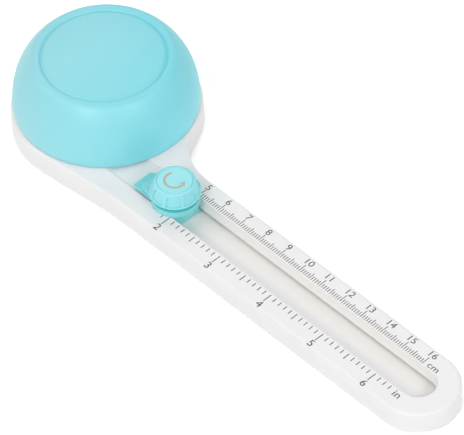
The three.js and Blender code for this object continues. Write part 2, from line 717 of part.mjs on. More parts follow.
// Ring with a tapered tab, drawn along +X about the origin and then turned to its locked place.
function lockLever() {
  const bodyRing = disc(leverRingRadius, leverFootZ, leverTopZ, ringSteps);
  const tab = new THREE.Shape();
  const corner = leverCornerRound;
  tab.moveTo(0, -leverRootHalfWidth);
  tab.lineTo(leverReach - 2 * corner, -leverTipHalfWidth);
  tab.quadraticCurveTo(leverReach, -leverTipHalfWidth, leverReach, -leverTipHalfWidth + 2 * corner);
  tab.lineTo(leverReach, leverTipHalfWidth - 2 * corner);
  tab.quadraticCurveTo(leverReach, leverTipHalfWidth, leverReach - 2 * corner, leverTipHalfWidth);
  tab.lineTo(0, leverRootHalfWidth);
  tab.closePath();
  const tabBody = upright(tab, leverFootZ, leverTopZ, leverEdgeRound);
  const arrow = new THREE.Shape();
  const arrowTipX = leverReach - leverArrowInset;
  arrow.moveTo(arrowTipX, 0);
  arrow.lineTo(arrowTipX - leverArrowLength, leverArrowHalfWidth);
  arrow.lineTo(arrowTipX - leverArrowLength, -leverArrowHalfWidth);
  arrow.closePath();
  const arrowBody = upright(arrow, leverTopZ - leverEdgeRound, leverTopZ + leverArrowHeight);
  const bore = disc(neckRadius + runGap, leverFootZ - cutOverrun, leverTopZ + cutOverrun, smallRoundSteps);
  const lever = joined([bodyRing, tabBody, arrowBody]).subtract(bore);
  return lever.rotate([0, 0, THREE.MathUtils.radToDeg(leverAngle)]).translate([carriageX, -armSideOffset, 0]);
}

// Round button with a stepped top, a fluted flank and a socket for the plunger's stem.
function pressButton() {
  const shoulderZ = buttonTopZ - buttonShoulderDrop;
  const socketRadius = stemTopRadius + seatGap;
  const cap = turned([
    [buttonRimRadius - buttonWall, buttonRimZ],
    [buttonRimRadius - buttonRimBreak, buttonRimZ],
    [buttonRimRadius, buttonRimZ + buttonRimBreak],
    [buttonRimRadius, buttonRimZ + buttonRimHeight],
    [buttonShoulderRadius, shoulderZ],
    [buttonTopRadius + buttonLipWidth / 2, buttonTopZ - buttonShoulderDrop / 4],
    [buttonTopRadius, buttonTopZ],
    [buttonTopRadius - buttonLipWidth, buttonTopZ],
    [buttonTopRadius - 2 * buttonLipWidth, buttonTopZ - buttonLipHeight],
    [0, buttonTopZ - buttonLipHeight],
    [0, buttonCeilingZ],
    [socketRadius, buttonCeilingZ],
    [socketRadius, socketFootZ],
    [socketRadius + socketWall, socketFootZ],
    [socketRadius + socketWall, buttonCeilingZ],
    [buttonShoulderRadius - buttonWall, buttonCeilingZ],
    [buttonRimRadius - buttonWall, buttonRimZ + buttonRimHeight],
  ], buttonSteps);
  const rise = shoulderZ - buttonRimZ - buttonRimHeight;
  const lean = Math.atan2(buttonRimRadius - buttonShoulderRadius, rise);
  const reach = fluteRadius - fluteDepth; // square to the flank, from its middle
  const middleRadius = (buttonRimRadius + buttonShoulderRadius) / 2 + reach * Math.cos(lean);
  const middleZ = (shoulderZ + buttonRimZ + buttonRimHeight) / 2 + reach * Math.sin(lean);
  const flutes = [];
  for (let i = 0; i < fluteCount; i += 1) {
    const cutter = new THREE.CylinderGeometry(fluteRadius, fluteRadius, rise - 2 * fluteEndGap, fluteSteps);
    cutter.rotateX(Math.PI / 2);
    cutter.rotateY(-lean);
    cutter.translate(middleRadius, 0, middleZ);
    cutter.rotateZ(fluteTurn + (2 * Math.PI * i) / fluteCount);
    flutes.push(solid(cutter));
  }
  return cap.subtract(joined(flutes)).translate([carriageX, -armSideOffset, 0]);
}

// Plunger: a stem through the carriage's neck and a foot that carries the blade to the side.
function bladeHolder() {
  const y = -armSideOffset;
  const stem = turned([
    [0, holderFootTopZ - cutOverrun],
    [stemRadius, holderFootTopZ - cutOverrun],
    [stemRadius, socketFootZ - seatGap],
    [stemTopRadius, socketFootZ - seatGap],
    [stemTopRadius, buttonCeilingZ - seatGap],
    [0, buttonCeilingZ - seatGap],
  ], smallRoundSteps, carriageX, y);
  const foot = block(carriageX - holderFootHalfLength, carriageX + holderFootHalfLength,
    y - holderFootNear, y + holderFootFar, holderFootZ, holderFootTopZ);
  const bladeHole = block(carriageX - bladeThickness / 2 - seatGap, carriageX + bladeThickness / 2 + seatGap,
    bladeY - bladeWidth / 2 - seatGap, bladeY + bladeWidth / 2 + seatGap,
    holderFootZ - cutOverrun, holderFootTopZ + cutOverrun);
  return foot.add(stem).subtract(bladeHole).subtract(grubHole());
}

// Sideways hole for the grub screw, from the blade out through the foot's +X face.
function grubHole() {
  const geometry = new THREE.CylinderGeometry(grubRadius + seatGap, grubRadius + seatGap,
    holderFootHalfLength + cutOverrun, smallRoundSteps / 2);
  geometry.rotateZ(Math.PI / 2);
  geometry.translate(carriageX + (holderFootHalfLength + cutOverrun) / 2, bladeY,
    holderFootZ + holderFootHeight / 2);
  return solid(geometry);
}

function blade() {
  const tipZ = armLift + bladeTipRecess;
  const topZ = holderFootTopZ - bladeTopDrop;
  const shape = new THREE.Shape();
  shape.moveTo(bladeY - bladeWidth / 2, topZ);
  shape.lineTo(bladeY - bladeWidth / 2, tipZ + bladePointLength);
  shape.lineTo(bladeY + bladeWidth / 2 - bladeThickness / 2, tipZ);
  shape.lineTo(bladeY + bladeWidth / 2, tipZ + bladeThickness);
  shape.lineTo(bladeY + bladeWidth / 2, topZ);
  shape.closePath();
  const geometry = new THREE.ExtrudeGeometry(shape, { depth: bladeThickness, bevelEnabled: false });
  geometry.rotateX(Math.PI / 2);
  geometry.rotateZ(Math.PI / 2);
  geometry.translate(carriageX - bladeThickness / 2, 0, 0);
  return solid(geometry);
}

function bladeScrew() {
  const innerX = carriageX + bladeThickness / 2 + seatGap;
  const outerX = carriageX + holderFootHalfLength - seatGap;
  const z = holderFootZ + holderFootHeight / 2;
  const geometry = new THREE.CylinderGeometry(grubRadius, grubRadius, outerX - innerX, smallRoundSteps / 2);
  geometry.rotateZ(Math.PI / 2);
  geometry.translate((innerX + outerX) / 2, bladeY, z);
  const slot = block(outerX - grubSlotDepth, outerX + cutOverrun, bladeY - grubRadius - cutOverrun,
    bladeY + grubRadius + cutOverrun, z - grubSlotWidth / 2, z + grubSlotWidth / 2);
  return solid(geometry).subtract(slot);
}

// Coil spring between the carriage's neck and the button's ceiling, as one unbroken tube.
function returnSpring() {
  const lowZ = neckTopZ + springWireRadius + seatGap;
  const highZ = buttonCeilingZ - springWireRadius - seatGap;
  const pitch = (highZ - lowZ) / springTurns;
  const stepCount = springTurns * springTurnSteps;
  const positions = [];
  const centres = [];
  const triangles = [];
  for (let i = 0; i <= stepCount; i += 1) {
    const angle = (2 * Math.PI * i) / springTurnSteps;
    const outward = new THREE.Vector3(Math.cos(angle), Math.sin(angle), 0);
    const centre = outward.clone().multiplyScalar(springRadius).setZ(lowZ + (pitch * i) / springTurnSteps);
    centres.push(centre);
    for (let side = 0; side < springWireSides; side += 1) {
      const turn = (2 * Math.PI * side) / springWireSides;
      const point = outward.clone().multiplyScalar(springWireRadius * Math.cos(turn)).add(centre);
      positions.push(point.x, point.y, point.z + springWireRadius * Math.sin(turn));
    }
  }
  for (let i = 0; i < stepCount; i += 1) {
    for (let side = 0; side < springWireSides; side += 1) {
      const next = (side + 1) % springWireSides;
      const here = i * springWireSides;
      const ahead = here + springWireSides;
      triangles.push(here + side, here + next, ahead + side, here + next, ahead + next, ahead + side);
    }
  }
  const last = stepCount * springWireSides;
  for (let side = 1; side < springWireSides - 1; side += 1) {
    triangles.push(0, side + 1, side, last, last + side, last + side + 1);
  }
  console.log(`return_spring: least gap between turns ${springGap(centres).toFixed(2)} mm`);
  const geometry = new THREE.BufferGeometry();
  geometry.setAttribute("position", new THREE.Float32BufferAttribute(positions, 3));
  geometry.setIndex(triangles);
  geometry.translate(carriageX, -armSideOffset, 0);
  return solid(geometry);
}

// Least gap between the wire of one turn and the wire of any other.
function springGap(centres) {
  let least = Infinity;
  for (let i = 0; i < centres.length; i += 1) {
    for (let j = i + springTurnSteps / 2; j < centres.length; j += 1) {
      least = Math.min(least, centres[i].distanceTo(centres[j]) - 2 * springWireRadius);
    }
  }
  return least;
}

function piece(name, body, color, roughness, metalness = 0) {
  const material = new THREE.MeshStandardMaterial({ color, roughness, metalness });
  const mesh = new THREE.Mesh(geometryOf(body), material);
  mesh.name = name;
  return mesh;
}

const base = new THREE.Group();
base.add(piece("non_slip_pad", nonSlipPad(), 0x3c3f42, 0.9));
base.add(piece("foot_disc", footDisc(), white, 0.5));
base.add(piece("lower_thrust_washer", thrustWasher(footTopZ + seatGap), 0xe4e2da, 0.4));
base.add(piece("upper_thrust_washer", thrustWasher(armTopZ + seatGap), 0xe4e2da, 0.4));
base.add(piece("palm_dome", palmDome(), teal, 0.45));
base.add(piece("dome_top_cap", domeTopCap(), teal, 0.45));
base.add(piece("pivot_screw", pivotScrew(), steel, 0.35, 0.9));
base.add(piece("pivot_screw_washer", pivotScrewWasher(), steel, 0.35, 0.9));

const arm = new THREE.Group();
arm.add(piece("arm_top_shell", armTopShell(), white, 0.5));
arm.add(piece("arm_bottom_plate", armBottomPlate(), white, 0.55));
arm.add(piece("hub_bushing", hubBushing(), 0xe4e2da, 0.4));
armScrewPlaces().forEach((place, i) => {
  arm.add(piece(`arm_screw_${i + 1}`, armScrew(place), steel, 0.35, 0.9));
});
tipFootPlaces().forEach((place, i) => {
  arm.add(piece(`tip_foot_${i + 1}`, tipFoot(place), 0x3c3f42, 0.9));
});

const carriage = new THREE.Group();
carriage.add(piece("carriage_body", carriageBody(), teal, 0.45));
carriage.add(piece("clamp_washer", clampWasher(), 0xe4e2da, 0.4));
carriage.add(piece("lock_lever", lockLever(), teal, 0.45));

const button = new THREE.Group();
button.add(piece("press_button", pressButton(), teal, 0.45));
button.add(piece("blade_holder", bladeHolder(), 0xe9e9e6, 0.45));
button.add(piece("blade", blade(), steel, 0.25, 1));
button.add(piece("blade_screw", bladeScrew(), steel, 0.35, 0.9));
button.add(piece("return_spring", returnSpring(), steel, 0.3, 1));
carriage.add(button);
arm.add(carriage);

const circleCutter = new THREE.Group();
circleCutter.add(base, arm);

export default circleCutter;
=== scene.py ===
import math
from types import SimpleNamespace as Sizes
import bpy
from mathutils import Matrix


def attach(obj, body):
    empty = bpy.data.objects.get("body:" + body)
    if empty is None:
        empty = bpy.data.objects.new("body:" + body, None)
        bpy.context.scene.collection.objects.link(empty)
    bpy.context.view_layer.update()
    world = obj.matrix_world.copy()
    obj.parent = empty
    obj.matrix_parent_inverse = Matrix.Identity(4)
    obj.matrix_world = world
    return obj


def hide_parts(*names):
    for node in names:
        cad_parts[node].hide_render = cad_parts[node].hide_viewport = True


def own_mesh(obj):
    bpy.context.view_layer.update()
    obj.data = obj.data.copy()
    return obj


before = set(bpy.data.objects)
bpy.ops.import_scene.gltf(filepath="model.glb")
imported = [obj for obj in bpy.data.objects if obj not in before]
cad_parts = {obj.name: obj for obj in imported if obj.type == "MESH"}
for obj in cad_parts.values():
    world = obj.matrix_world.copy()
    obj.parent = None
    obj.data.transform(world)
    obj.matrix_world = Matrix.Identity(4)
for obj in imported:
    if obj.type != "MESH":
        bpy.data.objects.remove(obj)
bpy.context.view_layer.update()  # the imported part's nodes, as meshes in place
mm = 0.001  # sizes below are in millimetres
hair = 0.01  # tolerance when edges are told apart by their place
past = 1  # how far a tool reaches beyond the piece, or into it
armMiddle = -15.35  # y of the arm's centreline
armTop = 9.6  # z of the arm's upper face
slotCentre = (52, armMiddle)  # the carriage's axis, at rest
print("frame loaded:", len(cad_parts), "nodes")


# Selecting, drawing and finishing

def objectMode():
    bpy.ops.object.mode_set(mode="OBJECT")


def editMode(kind="VERT", action="SELECT"):
    bpy.ops.object.mode_set(mode="EDIT")
    bpy.ops.mesh.select_mode(type=kind)
    bpy.ops.mesh.select_all(action=action)


def freeSelection():
    if bpy.context.object and bpy.context.object.mode != "OBJECT":
        objectMode()
    bpy.ops.object.select_all(action="DESELECT")


def pickPiece(piece):
    freeSelection()
    piece.select_set(True)
    bpy.context.view_layer.objects.active = piece


def namedPiece(name):
    # what the last operator made
    piece = bpy.context.object
    piece.name = name
    return piece


def settle(piece):
    # the object goes back to the origin and its place goes into its mesh
    pickPiece(piece)
    bpy.ops.object.transform_apply(location=True, rotation=True, scale=True)
    return piece


def setAll(thing, settings):
    for key, value in settings.items():
        setattr(thing, key, value)


def modify(piece, kind, **settings):
    # one modifier, applied at once
    pickPiece(piece)
    modifier = piece.modifiers.new(kind, kind)
    setAll(modifier, settings)
    bpy.ops.object.modifier_apply(modifier=modifier.name)


def inMetres(*numbers):
    return [number * mm for number in numbers]


def roundEdges(piece, wanted, size, segments=4):
    # wanted gets both ends of an edge in millimetres
    pickPiece(piece)
    editMode("EDGE", "DESELECT")
    objectMode()
    points = piece.data.vertices
    for edge in piece.data.edges:
        edge.select = wanted(*(points[i].co / mm for i in edge.vertices))
    bpy.ops.object.mode_set(mode="EDIT")
    bpy.ops.mesh.bevel(offset=size * mm, segments=segments, profile=0.5, affect="EDGES")
    objectMode()


def onTop(topZ):
    # for roundEdges: the edges that lie on the top face
    return lambda a, b: min(a.z, b.z) > topZ - hair


def upright(a, b):
    # for roundEdges: the edges that stand straight up
    return abs(a.x - b.x) < hair and abs(a.y - b.y) < hair


def mergeDoubles():
    bpy.ops.mesh.select_all(action="SELECT")
    bpy.ops.mesh.remove_doubles(threshold=0.2 * hair * mm)


def closeUp(piece):
    # doubles merged and loose points dropped, then the faces turned outwards
    pickPiece(piece)
    editMode()
    mergeDoubles()
    bpy.ops.mesh.delete_loose()
    bpy.ops.mesh.select_all(action="SELECT")
    bpy.ops.mesh.normals_make_consistent(inside=False)
    objectMode()
    return settle(piece)


def smoothFaces(piece, angle=32, flatFaces=False):
    pickPiece(piece)
    bpy.ops.object.shade_smooth_by_angle(angle=math.radians(angle))
    if flatFaces:  # broad flat faces keep their own normal beside a rounded edge
        modify(piece, "WEIGHTED_NORMAL", keep_sharp=True)
    return piece


def carve(piece, tool, how="DIFFERENCE", overlaps=False):
    # overlaps is for a tool or piece of several parts that may touch
    modify(piece, "BOOLEAN", operation=how, solver="EXACT", use_self=overlaps, object=tool)
    bpy.data.objects.remove(tool)
    return piece


def penAt(name, place):
    # a plane merged to one vertex: the pen that outlines are drawn with
    freeSelection()
    bpy.ops.mesh.primitive_plane_add(size=mm, location=inMetres(*place))
    piece = namedPiece(name)
    editMode()
    bpy.ops.mesh.merge(type="CENTER")
    return piece


def lineThrough(points):
    for here, there in zip(points, points[1:]):
        step = [(b - a) * mm for a, b in zip(here, there)]
        bpy.ops.mesh.extrude_vertices_move(TRANSFORM_OT_translate={"value": step})


def spinAbout(centre, turn, steps):
    bpy.ops.mesh.spin(steps=steps, angle=turn, center=inMetres(*centre, 0), axis=(0, 0, 1))


def plateBetween(name, lowZ, highZ, start, *moves):
    # a move is a point to go straight to, or an arc's centre, degrees and steps
    piece = penAt(name, (*start, lowZ))
    x, y = start
    for move in moves:
        if len(move) == 2:
            lineThrough([(x, y, 0), (*move, 0)])
            x, y = move
            continue
        centre, degrees, steps = move
        turn = math.radians(degrees)
        spinAbout(centre, -turn, steps)  # anticlockwise from above
        outX, outY = x - centre[0], y - centre[1]
        x = centre[0] + outX * math.cos(turn) - outY * math.sin(turn)
        y = centre[1] + outX * math.sin(turn) + outY * math.cos(turn)
    mergeDoubles()
    bpy.ops.mesh.edge_face_add()
    bpy.ops.mesh.extrude_region_move(TRANSFORM_OT_translate={"value": inMetres(0, 0, highZ - lowZ)})
    return closeUp(piece)


def spunPiece(name, profile, steps=96, centre=(0, 0)):
    # profile is a list of (radius, z)
    points = [(centre[0] + radius, centre[1], z) for radius, z in profile]
    piece = penAt(name, points[0])
    lineThrough(points)
    bpy.ops.mesh.select_all(action="SELECT")
    spinAbout(centre, math.tau, steps)
    return closeUp(piece)


def arcRun(radiusAt, zAt, size, fromDegrees, toDegrees, count):
    run = []
    for i in range(count + 1):
        turn = math.radians(fromDegrees + (toDegrees - fromDegrees) * i / count)
        run.append((radiusAt + size * math.cos(turn), zAt + size * math.sin(turn)))
    return run


def blockBetween(low, high, name="block"):
    freeSelection()
    middle = [(a + b) / 2 for a, b in zip(low, high)]
    size = [b - a for a, b in zip(low, high)]
    bpy.ops.mesh.primitive_cube_add(size=1, location=inMetres(*middle), scale=inMetres(*size))
    return settle(namedPiece(name))


def rodBetween(radius, lowZ, highZ, centre=(0, 0), sides=48):
    freeSelection()
    place = inMetres(*centre, (lowZ + highZ) / 2)
    depth = (highZ - lowZ) * mm
    bpy.ops.mesh.primitive_cylinder_add(vertices=sides, radius=radius * mm, depth=depth, location=place)
    return settle(bpy.context.object)


def joinPieces(name, pieces):
    freeSelection()
    for piece in pieces:
        piece.select_set(True)
    bpy.context.view_layer.objects.active = pieces[0]
    if len(pieces) > 1:
        bpy.ops.object.join()
    pieces[0].name = name
    return pieces[0]


# Camera

cameraView = {
    "place": (1.172873, -0.971443, 1.568401),  # metres
    "turn": (43.156841, 2.007144, 46.658736),  # degrees
    "lens": 482.69,
    "sensor": 36,
    "farthest": 30,  # metres
}


def placeCamera():
    freeSelection()
    turn = [math.radians(angle) for angle in cameraView["turn"]]
    bpy.ops.object.camera_add(location=cameraView["place"], rotation=turn)
    camera = namedPiece("photoView")
    camera.data.sensor_width = cameraView["sensor"]
    camera.data.lens = cameraView["lens"]
    camera.data.clip_end = cameraView["farthest"]
    bpy.context.scene.camera = camera


placeCamera()
print("camera placed")


# Dome and its cap

domeSizes = {
    "radius": 33.05,
    "rimZ": 9.85,
    "rimInset": 0.4,
    "rimRound": 0.35,
    "curveHeight": 30.8,
    "curveShape": 2.39,  # 2 is an ellipse, larger is squarer
    "shoulderShare": 0.462,  # of the curve's quarter turn
    "sideSteps": 26,
    "shoulderRound": 3.4,
    "grooveRound": 1.6,
    "grooveTurn": 145,  # degrees at which the groove's rounded side ends
    "recessZ": 31.1,
    "wall": 2.2,
    "wallStart": 1,  # where the inside begins, above the rim
    "flangeZ": 10.3,
    "flangeRadius": 20,
    "flangeThickness": 2.4,
    "columnRadius": 7,
    "wellRadius": 5.6,
    "wellZ": 21.28,
    "boreRadius": 2.1,
    "ribCount": 6,
    "ribThickness": 1.6,
    "ribRadii": (6.4, 23.87),
    "steps": 144,
}

capSizes = {
    "radius": 22.15,
    "edgeZ": 32.43,
    "edgeRound": 3.2,
    "edgeTurn": 50,  # degrees at which the rounded edge ends
    "crown": 2.23,
    "footZ": 31.2,
    "footHeight": 0.2,  # least height of the wall's foot
    "wall": 1.7,
    "steps": 144,
}


def domeSide():
    # side and shoulder up to the crest beside the groove
    s = Sizes(**domeSizes)
    power = 2 / s.curveShape
    run = []
    for i in range(1, s.sideSteps + 1):
        turn = math.pi / 2 * s.shoulderShare * i / s.sideSteps
        radius = s.radius * math.cos(turn) ** power
        run.append((radius, s.rimZ + s.curveHeight * math.sin(turn) ** power))
    slope = math.degrees(math.atan2(
        math.sin(turn) ** (2 - power) / s.curveHeight,
        math.cos(turn) ** (2 - power) / s.radius,
    ))
    size = s.shoulderRound
    crestRadius = run[-1][0] - size * math.cos(math.radians(slope))
    centreZ = run[-1][1] - size * math.sin(math.radians(slope))
    return run + arcRun(crestRadius, centreZ, size, slope, 90, count=10)[1:]


def makeDome():
    s = Sizes(**domeSizes)
    side = domeSide()
    crestRadius, crestZ = side[-1]
    groove = s.grooveRound
    grooveEdge = arcRun(crestRadius, crestZ - groove, groove, 90, s.grooveTurn, count=8)
    recessRadius = grooveEdge[-1][0]
    ceilingZ = s.recessZ - s.wall
    rimRadius = s.radius - s.rimInset
    rim = arcRun(rimRadius - s.rimRound, s.rimZ + s.rimRound, s.rimRound, -90, 0, count=4)
    wallStartZ = s.rimZ + s.wallStart
    everyThird = side[1::3]
    innerSide = [(r - s.wall, z) for r, z in everyThird if wallStartZ < z < ceilingZ]
    profile = [
        (rimRadius - s.wall, s.rimZ),
        *rim,
        *side,
        *grooveEdge[1:],
        (recessRadius, s.recessZ),
        (s.wellRadius, s.recessZ),
        (s.wellRadius, s.wellZ),
        (s.boreRadius, s.wellZ),
        (s.boreRadius, s.flangeZ),
        (s.flangeRadius, s.flangeZ),
        (s.flangeRadius, s.flangeZ + s.flangeThickness),
        (s.columnRadius, s.flangeZ + s.flangeThickness),
        (s.columnRadius, ceilingZ),
        *reversed(innerSide),
        (rimRadius - s.wall, s.rimZ),
    ]
    dome = spunPiece("domeShell", profile, s.steps)
    root, end = s.ribRadii
    halfRib = s.ribThickness / 2
    low = (root, -halfRib, s.flangeZ + s.flangeThickness / 2)
    high = (end, halfRib, ceilingZ + s.wall / 2)
    for i in range(s.ribCount):
        rib = blockBetween(low, high)
        rib.rotation_euler[2] = math.tau * i / s.ribCount
        carve(dome, settle(rib), "UNION")
    return smoothFaces(dome, angle=35)


def makeCap():
    s = Sizes(**capSizes)
    crownRadius = (s.radius ** 2 + s.crown ** 2) / (2 * s.crown)
    centreZ = s.edgeZ + s.crown - crownRadius
    innerEdge = s.radius - s.edgeRound * math.cos(math.radians(s.edgeTurn))
    edgeDegrees = 90 - math.degrees(math.asin(innerEdge / (crownRadius - s.edgeRound)))
    crown = arcRun(0, centreZ, crownRadius, edgeDegrees, 90, count=28)
    edgeMiddleZ = crown[0][1] - s.edgeRound * math.sin(math.radians(edgeDegrees))
    edge = arcRun(innerEdge, edgeMiddleZ, s.edgeRound, s.edgeTurn, edgeDegrees, count=8)
    under = arcRun(0, centreZ, crownRadius - s.wall, 90, edgeDegrees, count=16)
    under = [(r, z) for r, z in under if z > s.footZ + s.footHeight]
    profile = [
        (s.radius, s.footZ),
        *edge,
        *crown[1:-1],
        (0, crown[-1][1]),
        (0, under[0][1]),
        *under[1:],
        (under[-1][0], s.footZ),
        (s.radius, s.footZ),
    ]
    return smoothFaces(spunPiece("domeCap", profile, s.steps), angle=35)


domeShell = makeDome()
domeCap = makeCap()
print("dome made")


# Arm: the upper moulding, its slot and the channel that runs on under the dome

armSizes = {
    "lowZ": 1,
    "edgeRound": 1.2,
    "halfWidth": 14.74,
    "tipX": 171,
    "headRadius": 33.8,
    "taperAngle": 6.5,
    "taperRound": 150,
    "neckRound": 22,
    "wall": 1.8,
    "ceilingZ": 7.2,
    "weldZ": 7.7,  # what hangs from the ceiling runs up to here, in steps that share no plane
    "weldStep": 0.1,
    "slotHalfWidth": 6.55,
    "slotWall": 1.6,
    "slotWallZ": 4.4,
    "slotStartX": 46,
    "slotCorner": 0.8,
    "slotEdge": 0.35,
    "slotEdgeX": (23.9, 178),  # the rounded rim lies between these
    "channelX": 24,
    "channelZ": 8.85,
    "channelFloor": 2.4,
    "channelSide": 1.1,
    "hubRadius": 17.45,
    "hubBore": 15.25,
    "hubZ": 3.7,
    "bossRadius": 2,
    "bossZ": 3.2,
    "pilotRadius": 1,
    "pilotTopZ": 6.7,
    "steps": {"tip": 30, "neck": 9, "head": 36, "taper": 4, "slotEnd": 40, "slotCorner": 6},
}
screwPlaces = [
    (78, -26.45),
    (78, -4.25),
    (140, -26.45),
    (140, -4.25),
    (-16.92, -24.16),
    (-16.92, 24.16),
]


def armPlate(name, inset, lowZ, highZ, fine=2):
    # fine is how many times the usual steps its arcs have
    s = Sizes(**armSizes)
    steps = {place: count * fine for place, count in s.steps.items()}
    half = s.halfWidth - inset
    head = s.headRadius - inset
    neck = s.neckRound + inset
    taper = s.taperRound - inset
    lowY = armMiddle - half
    neckY = armMiddle + half + neck
    neckX = math.sqrt((head + neck) ** 2 - neckY ** 2)
    neckTurn = math.degrees(math.atan2(neckY, neckX))
    lean = math.radians(s.taperAngle)
    leave = (head * math.sin(lean), -head * math.cos(lean))
    taperX = leave[0] + (lowY - leave[1]) / math.tan(lean) + taper * math.tan(lean / 2)
    meet = (taperX - taper * math.sin(lean), lowY - taper + taper * math.cos(lean))
    return plateBetween(
        name, lowZ, highZ, (s.tipX, lowY),
        ((s.tipX, armMiddle), 180, steps["tip"]),
        (neckX, armMiddle + half),
        ((neckX, neckY), neckTurn - 90, steps["neck"]),
        ((0, 0), 270 + s.taperAngle - neckTurn, steps["head"]),
        meet,
        ((taperX, lowY - taper), -s.taperAngle, steps["taper"]),
        (s.tipX, lowY),
    )


def slotPlate(name, outset, lowZ, highZ):
    s = Sizes(**armSizes)
    half = s.slotHalfWidth + outset
    corner = s.slotCorner + outset
    backX = s.slotStartX - outset
    cornerX = backX + corner
    lowY, highY = armMiddle - half, armMiddle + half
    return plateBetween(
        name, lowZ, highZ, (s.tipX, lowY),
        ((s.tipX, armMiddle), 180, s.steps["slotEnd"]),
        (cornerX, highY),
        ((cornerX, highY - corner), 90, s.steps["slotCorner"]),
        (backX, lowY + corner),
        ((cornerX, lowY + corner), 90, s.steps["slotCorner"]),
        (s.tipX, lowY),
    )


def makeArm():
    s = Sizes(**armSizes)
    half = s.slotHalfWidth
    belowArm, aboveArm = s.lowZ - past, armTop + past
    weldZ, weldStep = s.weldZ, s.weldStep
    arm = armPlate("armShell", 0, s.lowZ, armTop)
    roundEdges(arm, onTop(armTop), s.edgeRound, segments=6)
    carve(arm, armPlate("hollow", s.wall, belowArm, s.ceilingZ, fine=1))
    # what stays inside the shell: the slot's walls, the channel's floor, the hub and the screw bosses
    carve(arm, slotPlate("slotRib", s.slotWall, s.slotWallZ, weldZ), "UNION")
    side = half + s.channelSide
    floorLow = (s.channelX - s.wall, armMiddle - side, s.channelZ - s.channelFloor)
    floorHigh = (s.slotStartX + s.slotWall, armMiddle + side, weldZ - weldStep)
    carve(arm, blockBetween(floorLow, floorHigh), "UNION")
    carve(arm, rodBetween(s.hubRadius, s.hubZ, weldZ + weldStep, sides=96), "UNION")
    for place in screwPlaces:
        boss = rodBetween(s.bossRadius, s.bossZ, weldZ + 2 * weldStep, place, sides=32)
        carve(arm, boss, "UNION")
    # what is cut out of it
    carve(arm, slotPlate("slotCut", 0, belowArm, aboveArm))
    channelEnd = s.slotStartX + s.slotCorner + s.slotEdge
    channelLow = (s.channelX, armMiddle - half, s.channelZ)
    carve(arm, blockBetween(channelLow, (channelEnd, armMiddle + half, aboveArm)))
    carve(arm, rodBetween(s.hubBore, belowArm, aboveArm, sides=96))
    for place in screwPlaces:
        carve(arm, rodBetween(s.pilotRadius, belowArm, s.pilotTopZ, place, sides=24))
    firstX, lastX = s.slotEdgeX

    def slotRim(a, b):
        inSlot = (firstX < p.x < lastX and abs(p.y - armMiddle) < half + 2 * hair for p in (a, b))
        return onTop(armTop)(a, b) and all(inSlot)

    roundEdges(arm, slotRim, s.slotEdge, segments=3)
    return smoothFaces(closeUp(arm), flatFaces=True)


armShell = makeArm()
print("arm made")


# Carriage: block, neck, lock lever and button

blockSizes = {
    "halfLength": 5.25,
    "halfWidth": 6.3,
    "lowZ": 3.35,
    "highZ": 9.4,
    "cornerRound": 1.1,
    "topRound": 0.3,
    "flangeHalfWidth": 8.8,
    "flangeThickness": 0.8,
    "neckRadius": 5,
    "neckZ": 13.2,
    "neckRound": 0.3,
    "boreRadius": 2.85,
    "cavityHalfLength": 3.55,
    "cavityTopZ": 8.15,
    "cavityNear": 6.35,
    "cavityFar": 3.45,
}


def makeBlock():
    s = Sizes(**blockSizes)
    x, y = slotCentre
    low = (x - s.halfLength, y - s.halfWidth, s.lowZ)
    high = (x + s.halfLength, y + s.halfWidth, s.highZ)
    block = blockBetween(low, high, "carriageBlock")
    roundEdges(block, upright, s.cornerRound, segments=5)
    roundEdges(block, onTop(s.highZ), s.topRound, segments=3)
    flangeTopZ = s.lowZ + s.flangeThickness
    flangeHigh = (high[0], y + s.flangeHalfWidth, flangeTopZ)
    carve(block, blockBetween((low[0], y - s.flangeHalfWidth, s.lowZ), flangeHigh), "UNION")
    neck = rodBetween(s.neckRadius, s.highZ - past, s.neckZ, slotCentre, sides=64)
    roundEdges(neck, onTop(s.neckZ), s.neckRound, segments=3)
    carve(block, neck, "UNION")
    belowBlock = s.lowZ - past
    carve(block, rodBetween(s.boreRadius, belowBlock, s.neckZ + past, slotCentre))
    backX, frontX = x - s.cavityHalfLength, x + s.cavityHalfLength
    lowCavity = (frontX, y + s.cavityFar, s.cavityTopZ)
    carve(block, blockBetween((backX, y - s.cavityNear, belowBlock), lowCavity))
    sideCavity = (frontX, y, s.cavityTopZ)
    carve(block, blockBetween((backX, low[1] - past, flangeTopZ), sideCavity))
    return smoothFaces(closeUp(block), flatFaces=True)


leverSizes = {
    "ringRadius": 8.5,
    "ringLowZ": 9.78,
    "highZ": 11.8,
    "boreRadius": 5.25,
    "washerRadius": 7.75,
    "washerZ": 10.1,
    "tabLowZ": 10.15,
    "tabHighZ": 11.15,
    "tab": ((2.5, -7.85), (14.5, -4.2), (15.6, 3.95), (4.5, 5.9)),  # corners before the turn
    "tabCorner": 0.4,
    "tabCornersX": 10,  # only the tab's far corners are rounded
    "nose": ((13.1, 1.8), (12.1, 3.6), (7, 5.3), (5, 5), (5, -5), (12.3, -3), (11.6, -0.6)),
    "noseFoot": 0.5,  # into the tab
    "edgeRound": 0.3,
    "turn": 189,  # locked
}


def leverPlate(name, corners, lowZ, highZ):
    x, y = slotCentre
    start, *others = [(x + px, y + py) for px, py in corners]
    return plateBetween(name, lowZ, highZ, start, *others, start)


